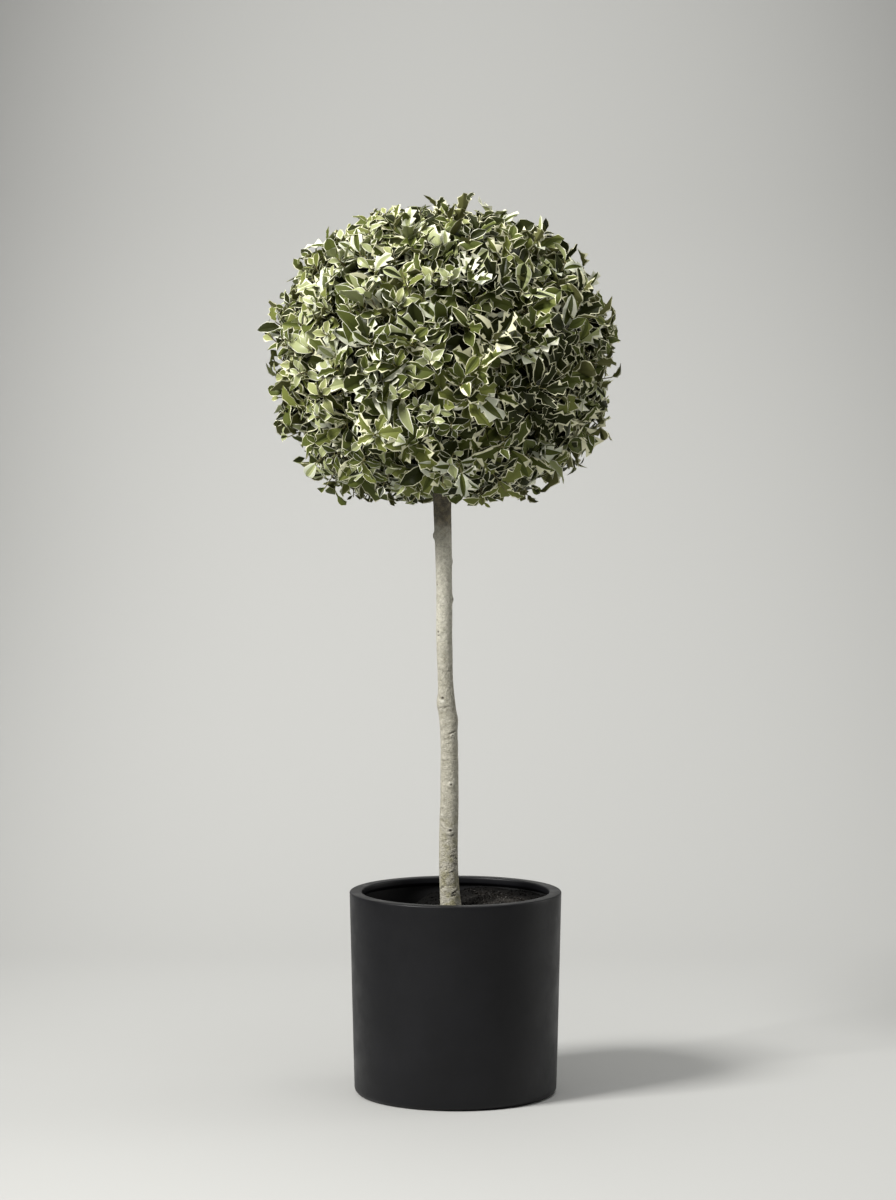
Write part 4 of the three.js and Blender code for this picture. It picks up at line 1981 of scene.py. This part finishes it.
@dataclass
class Branching:
    """The branching rule: a limb splits what it feeds into groups and sends a limb to each.

    At each order, splits is the most groups and shares is how far along the limb the next fork
    lies. A leafy twig starts foot_back of its length behind its spray's tip.
    """

    rng: np.random.Generator
    stem: Stem
    sprays: Sprays
    splits: tuple[int, ...] = (9, 4, 4, 3, 3)
    shares: tuple[float, ...] = (0.36, 0.42, 0.46, 0.5, 0.5)
    fork_depth: float = 12.0 * MM
    foot_back: float = 1.15
    tip_radius: float = 1.05 * MM
    twig_taper: tuple[float, float] = (1.25, 0.8)
    bough_taper: tuple[float, float] = (1.08, 0.92)
    bud: float = 2.5 * MM
    growth: float = 2.35
    wander: float = 0.06
    group_passes: int = 8
    bough_points: int = 7
    twig_points: tuple[int, int] = (5, 4)
    thick_sides: int = 8
    thin_sides: int = 6
    twig_sides: int = 5
    boughs: Tubes = field(default_factory=lambda: Tubes("boughs"))
    twigs: Tubes = field(default_factory=lambda: Tubes("twigs"))

    def grow(self) -> None:
        """Grows all the wood between the fork and the sprays."""
        x, y, _ = self.stem.centre_at(self.stem.fork)
        fork = np.array([float(x), float(y), self.stem.fork - self.fork_depth])
        self._split(fork, UP, np.arange(len(self.sprays.tip)), 0)

    def _radius(self, fed: int) -> float:
        """A limb's radius, from how many sprays it feeds."""
        return self.tip_radius * fed ** (1.0 / self.growth)

    def _split(self, origin: Array, heading: Array, fed: Array, order: int) -> None:
        """Sends limbs from a point to the sprays that it feeds, splitting them into groups."""
        if len(fed) <= 2 or order == len(self.splits):
            for one in fed:
                self._twig(origin, heading, one)
            return
        for group in self._groups(fed, min(self.splits[order], len(fed))):
            if len(group) == 1:
                self._twig(origin, heading, group[0])
                continue
            middle = self._feet(group).mean(axis=0)
            node = origin + (middle - origin) * self.shares[order]
            node = node + self.rng.normal(0.0, self.wander, 3) * np.linalg.norm(middle - origin)
            end_heading = unit(middle - node)
            path = bent_path(origin, heading, node, end_heading, self.bough_points)
            ends = (self._radius(len(group)) * share for share in self.bough_taper)
            radii = np.linspace(*ends, self.bough_points)
            self.boughs.add(path, radii, self.thick_sides if order < 2 else self.thin_sides)
            self._split(node, end_heading, group, order + 1)

    def _feet(self, which: Array) -> Array:
        """Where the leafy twigs of some sprays begin."""
        s = self.sprays
        return s.tip[which] - s.axis[which] * (s.length[which] * self.foot_back)[:, None]

    def _groups(self, fed: Array, count: int) -> list[Array]:
        """Splits sprays into groups that lie together."""
        feet = self._feet(fed)
        middles = feet[self.rng.choice(len(feet), count, replace=False)]
        for _ in range(self.group_passes):
            nearest = np.argmin(np.linalg.norm(feet[:, None] - middles[None], axis=2), axis=1)
            for k in range(count):
                if np.any(nearest == k):
                    middles[k] = feet[nearest == k].mean(axis=0)
        return [fed[nearest == k] for k in range(count) if np.any(nearest == k)]

    def _twig(self, origin: Array, heading: Array, which: int) -> None:
        """One twig: it bends into its spray's axis, runs through the leaves and ends in a bud."""
        tip, axis = self.sprays.tip[which], self.sprays.axis[which]
        foot = self._feet(np.array([which]))[0]
        bare, leafy = self.twig_points
        inner = bent_path(origin, heading, foot, axis, bare)
        bud = tip + axis * self.bud
        outer = foot + (bud - foot) * np.linspace(0.0, 1.0, leafy)[1:, None]
        path = np.concatenate([inner, outer])
        radii = np.linspace(*self.twig_taper, len(path)) * self.tip_radius
        self.twigs.add(path, radii, self.twig_sides)


def bent_path(start: Array, heading: Array, end: Array, end_heading: Array, points: int) -> Array:
    """A bent path between two points that leaves and arrives in given directions.

    Args:
        start: where it leaves.
        heading: the unit direction it leaves in.
        end: where it arrives.
        end_heading: the unit direction it arrives in.
        points: how many points it has.

    Returns:
        The points, one a row.
    """
    pull = 0.7 * np.linalg.norm(end - start)
    a, b, c, d = cubic_weights(np.linspace(0.0, 1.0, points)[:, None])
    return a * start + b * heading * pull + c * end + d * end_heading * pull


# ---------------------------------------------------------------- studio


@dataclass(frozen=True)
class PaperFinish:
    """Plain pale paper with painted shade, a little darker away from its middle as the light falls
    off, and clear from behind.
    """

    colour: Colour = (0.437, 0.440, 0.431)
    middle: float = 0.10
    width: float = 1.64
    height: float = 3.4
    falloff: float = 0.9
    least: float = 0.40

    def make(self) -> Material:
        """Builds the material."""
        m = Dressing("studio_paper", Roughness=0.9)
        # Painted shade: the paper's colour falls off away from its middle, to no less than least of
        # it.
        across = m.math("DIVIDE", m.math("SUBTRACT", m.axes["X"], self.middle), self.width)
        up = m.math("DIVIDE", m.axes["Z"], self.height)
        squares = (m.math("POWER", one, 2.0) for one in (across, up))
        away = m.math("POWER", m.math("ADD", *squares), 2.0)
        kept = m.math("EXPONENT", m.times(away, -self.falloff))
        kept = m.math("MAXIMUM", kept, self.least)
        m.put("Base Color", m.blend(kept, (0.0, 0.0, 0.0), self.colour))
        back = m.add("ShaderNodeNewGeometry").outputs["Backfacing"]
        clear = m.add("ShaderNodeBsdfTransparent").outputs["BSDF"]
        faced = m.add("ShaderNodeMixShader", {0: back, 1: m.shader.outputs["BSDF"], 2: clear})
        m.feed(m.tree.nodes["Material Output"].inputs["Surface"], faced.outputs[0])
        return m.material


@dataclass(frozen=True)
class Lamp:
    """One soft light. Its size is its width and height, and its spread, in degrees, its beam."""

    name: str
    place: tuple[float, float, float]
    aim: tuple[float, float, float]
    size: tuple[float, float]
    power: float
    colour: Colour = (1.0, 0.985, 0.95)
    spread: float = 180.0

    def hang(self) -> None:
        """Puts the light in the scene."""
        light = bpy.data.lights.new(self.name, "AREA")
        light.shape = "RECTANGLE"
        light.size, light.size_y = self.size
        light.energy = self.power
        light.color = self.colour
        light.spread = math.radians(self.spread)
        obj = linked(self.name, light)
        obj.location = self.place
        beam = Vector(self.aim) - Vector(self.place)
        obj.rotation_euler = beam.to_track_quat("-Z", "Y").to_euler()


LAMPS = (
    Lamp("key", (-3.7, -2.57, 4.1), (0.0, 0.0, 0.85), (1.6, 1.6), 500.0, (1.0, 0.985, 0.955)),
    Lamp("top", (0.5, -0.2, 4.6), (0.5, 0.2, 0.0), (3.4, 3.4), 130.0, (1.0, 0.995, 0.975)),
    Lamp("fill", (1.5, -3.4, 1.8), (0.05, 0.0, 1.26), (0.8, 0.8), 0.7, spread=30.0),
    Lamp("edge", (3.4, 0.9, 1.0), (0.0, 0.0, 0.3), (1.4, 1.6), 24.0),
)


@dataclass
class Studio:
    """The pale sweep of paper, the soft lights and the camera."""

    camera_back: float = 6.0
    camera_height: float = 1.236
    camera_right: float = -0.0124
    camera_down: float = 4.0
    lens: float = 109.8
    far_end: float = 60.0
    sweep_width: float = 14.0
    sweep_front: float = -7.0
    sweep_back: float = 1.35
    sweep_radius: float = 1.6
    sweep_top: float = 6.0
    sweep_steps: int = 24
    surroundings: Colour = (1.0, 0.995, 0.975)
    surroundings_strength: float = 0.13

    def build(self) -> None:
        """Sets up floor, lights, surroundings and camera."""
        self._sweep()
        for lamp in LAMPS:
            lamp.hang()
        world = bpy.data.worlds.new("studio")
        world.use_nodes = True
        background = world.node_tree.nodes["Background"]
        background.inputs["Color"].default_value = (*self.surroundings, 1.0)
        background.inputs["Strength"].default_value = self.surroundings_strength
        bpy.context.scene.world = world
        bpy.context.scene.view_settings.view_transform = "Standard"
        self._camera()

    def _sweep(self) -> None:
        """The paper: a floor that turns up into the backdrop."""
        bench = Bench("paper_sweep", bpy.ops.mesh.primitive_plane_add, size=1.0)
        bench.pick(Pick.VERTICES, everywhere)
        bench.scale(self.sweep_width, self.sweep_back - self.sweep_front, 1.0)
        bench.move(0.0, (self.sweep_back + self.sweep_front) / 2, 0.0)
        bench.pick(Pick.EDGES, lambda p: p.y > self.sweep_back - 1e-3)
        turns = [math.pi / 2 * i / self.sweep_steps for i in range(self.sweep_steps + 1)]
        for low, high in zip(turns, turns[1:]):
            back = self.sweep_radius * (math.sin(high) - math.sin(low))
            bench.extrude(0.0, back, self.sweep_radius * (math.cos(low) - math.cos(high)))
        bench.extrude(0.0, 0.0, self.sweep_top - self.sweep_radius)
        sweep = bench.finish()
        bpy.ops.object.mode_set(mode="EDIT")
        bpy.ops.mesh.select_all(action="SELECT")
        bpy.ops.mesh.flip_normals()
        bpy.ops.object.mode_set(mode="OBJECT")
        sweep.data.materials.append(PaperFinish().make())

    def _camera(self) -> None:
        """The camera, a little above the middle of the plant and looking slightly down."""
        data = bpy.data.cameras.new("camera")
        data.lens = self.lens
        data.clip_end = self.far_end
        camera = linked("camera", data)
        camera.location = (self.camera_right, -self.camera_back, self.camera_height)
        camera.rotation_euler = (math.radians(90.0 - self.camera_down), 0.0, 0.0)
        bpy.context.scene.camera = camera


def main() -> None:
    """Builds the plant, its planter and the studio in order."""
    logging.basicConfig(level=logging.INFO, format="%(name)s: %(message)s")
    effects = Effects()
    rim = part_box("pot")[1]
    planter = Planter(height=rim.z, top_radius=rim.x)
    planter.dress(planter.build(), effects)
    foot, fork = (corner.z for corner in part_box("trunk"))
    soil = Soil(planter, level=foot - SOIL_GAP)
    soil.dress(soil.build(), soil.scatter(effects), effects)
    stem = Stem(foot=foot - STEM_SUNK, fork=fork)
    stem.dress(stem.build(), effects)
    low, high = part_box("crown")
    middle = low.z + CROWN_MIDDLE * (high.z - low.z)
    outline = Outline(
        centre=np.array([(low.x + high.x) / 2, (low.y + high.y) / 2, middle]),
        radius=(high.x - low.x) / 2,
        rise=high.z - middle,
        drop=middle - low.z,
    )
    crown = Crown(outline, stem)
    crown.dress(crown.build(effects))
    Studio().build()


if __name__ == "__main__":
    main()
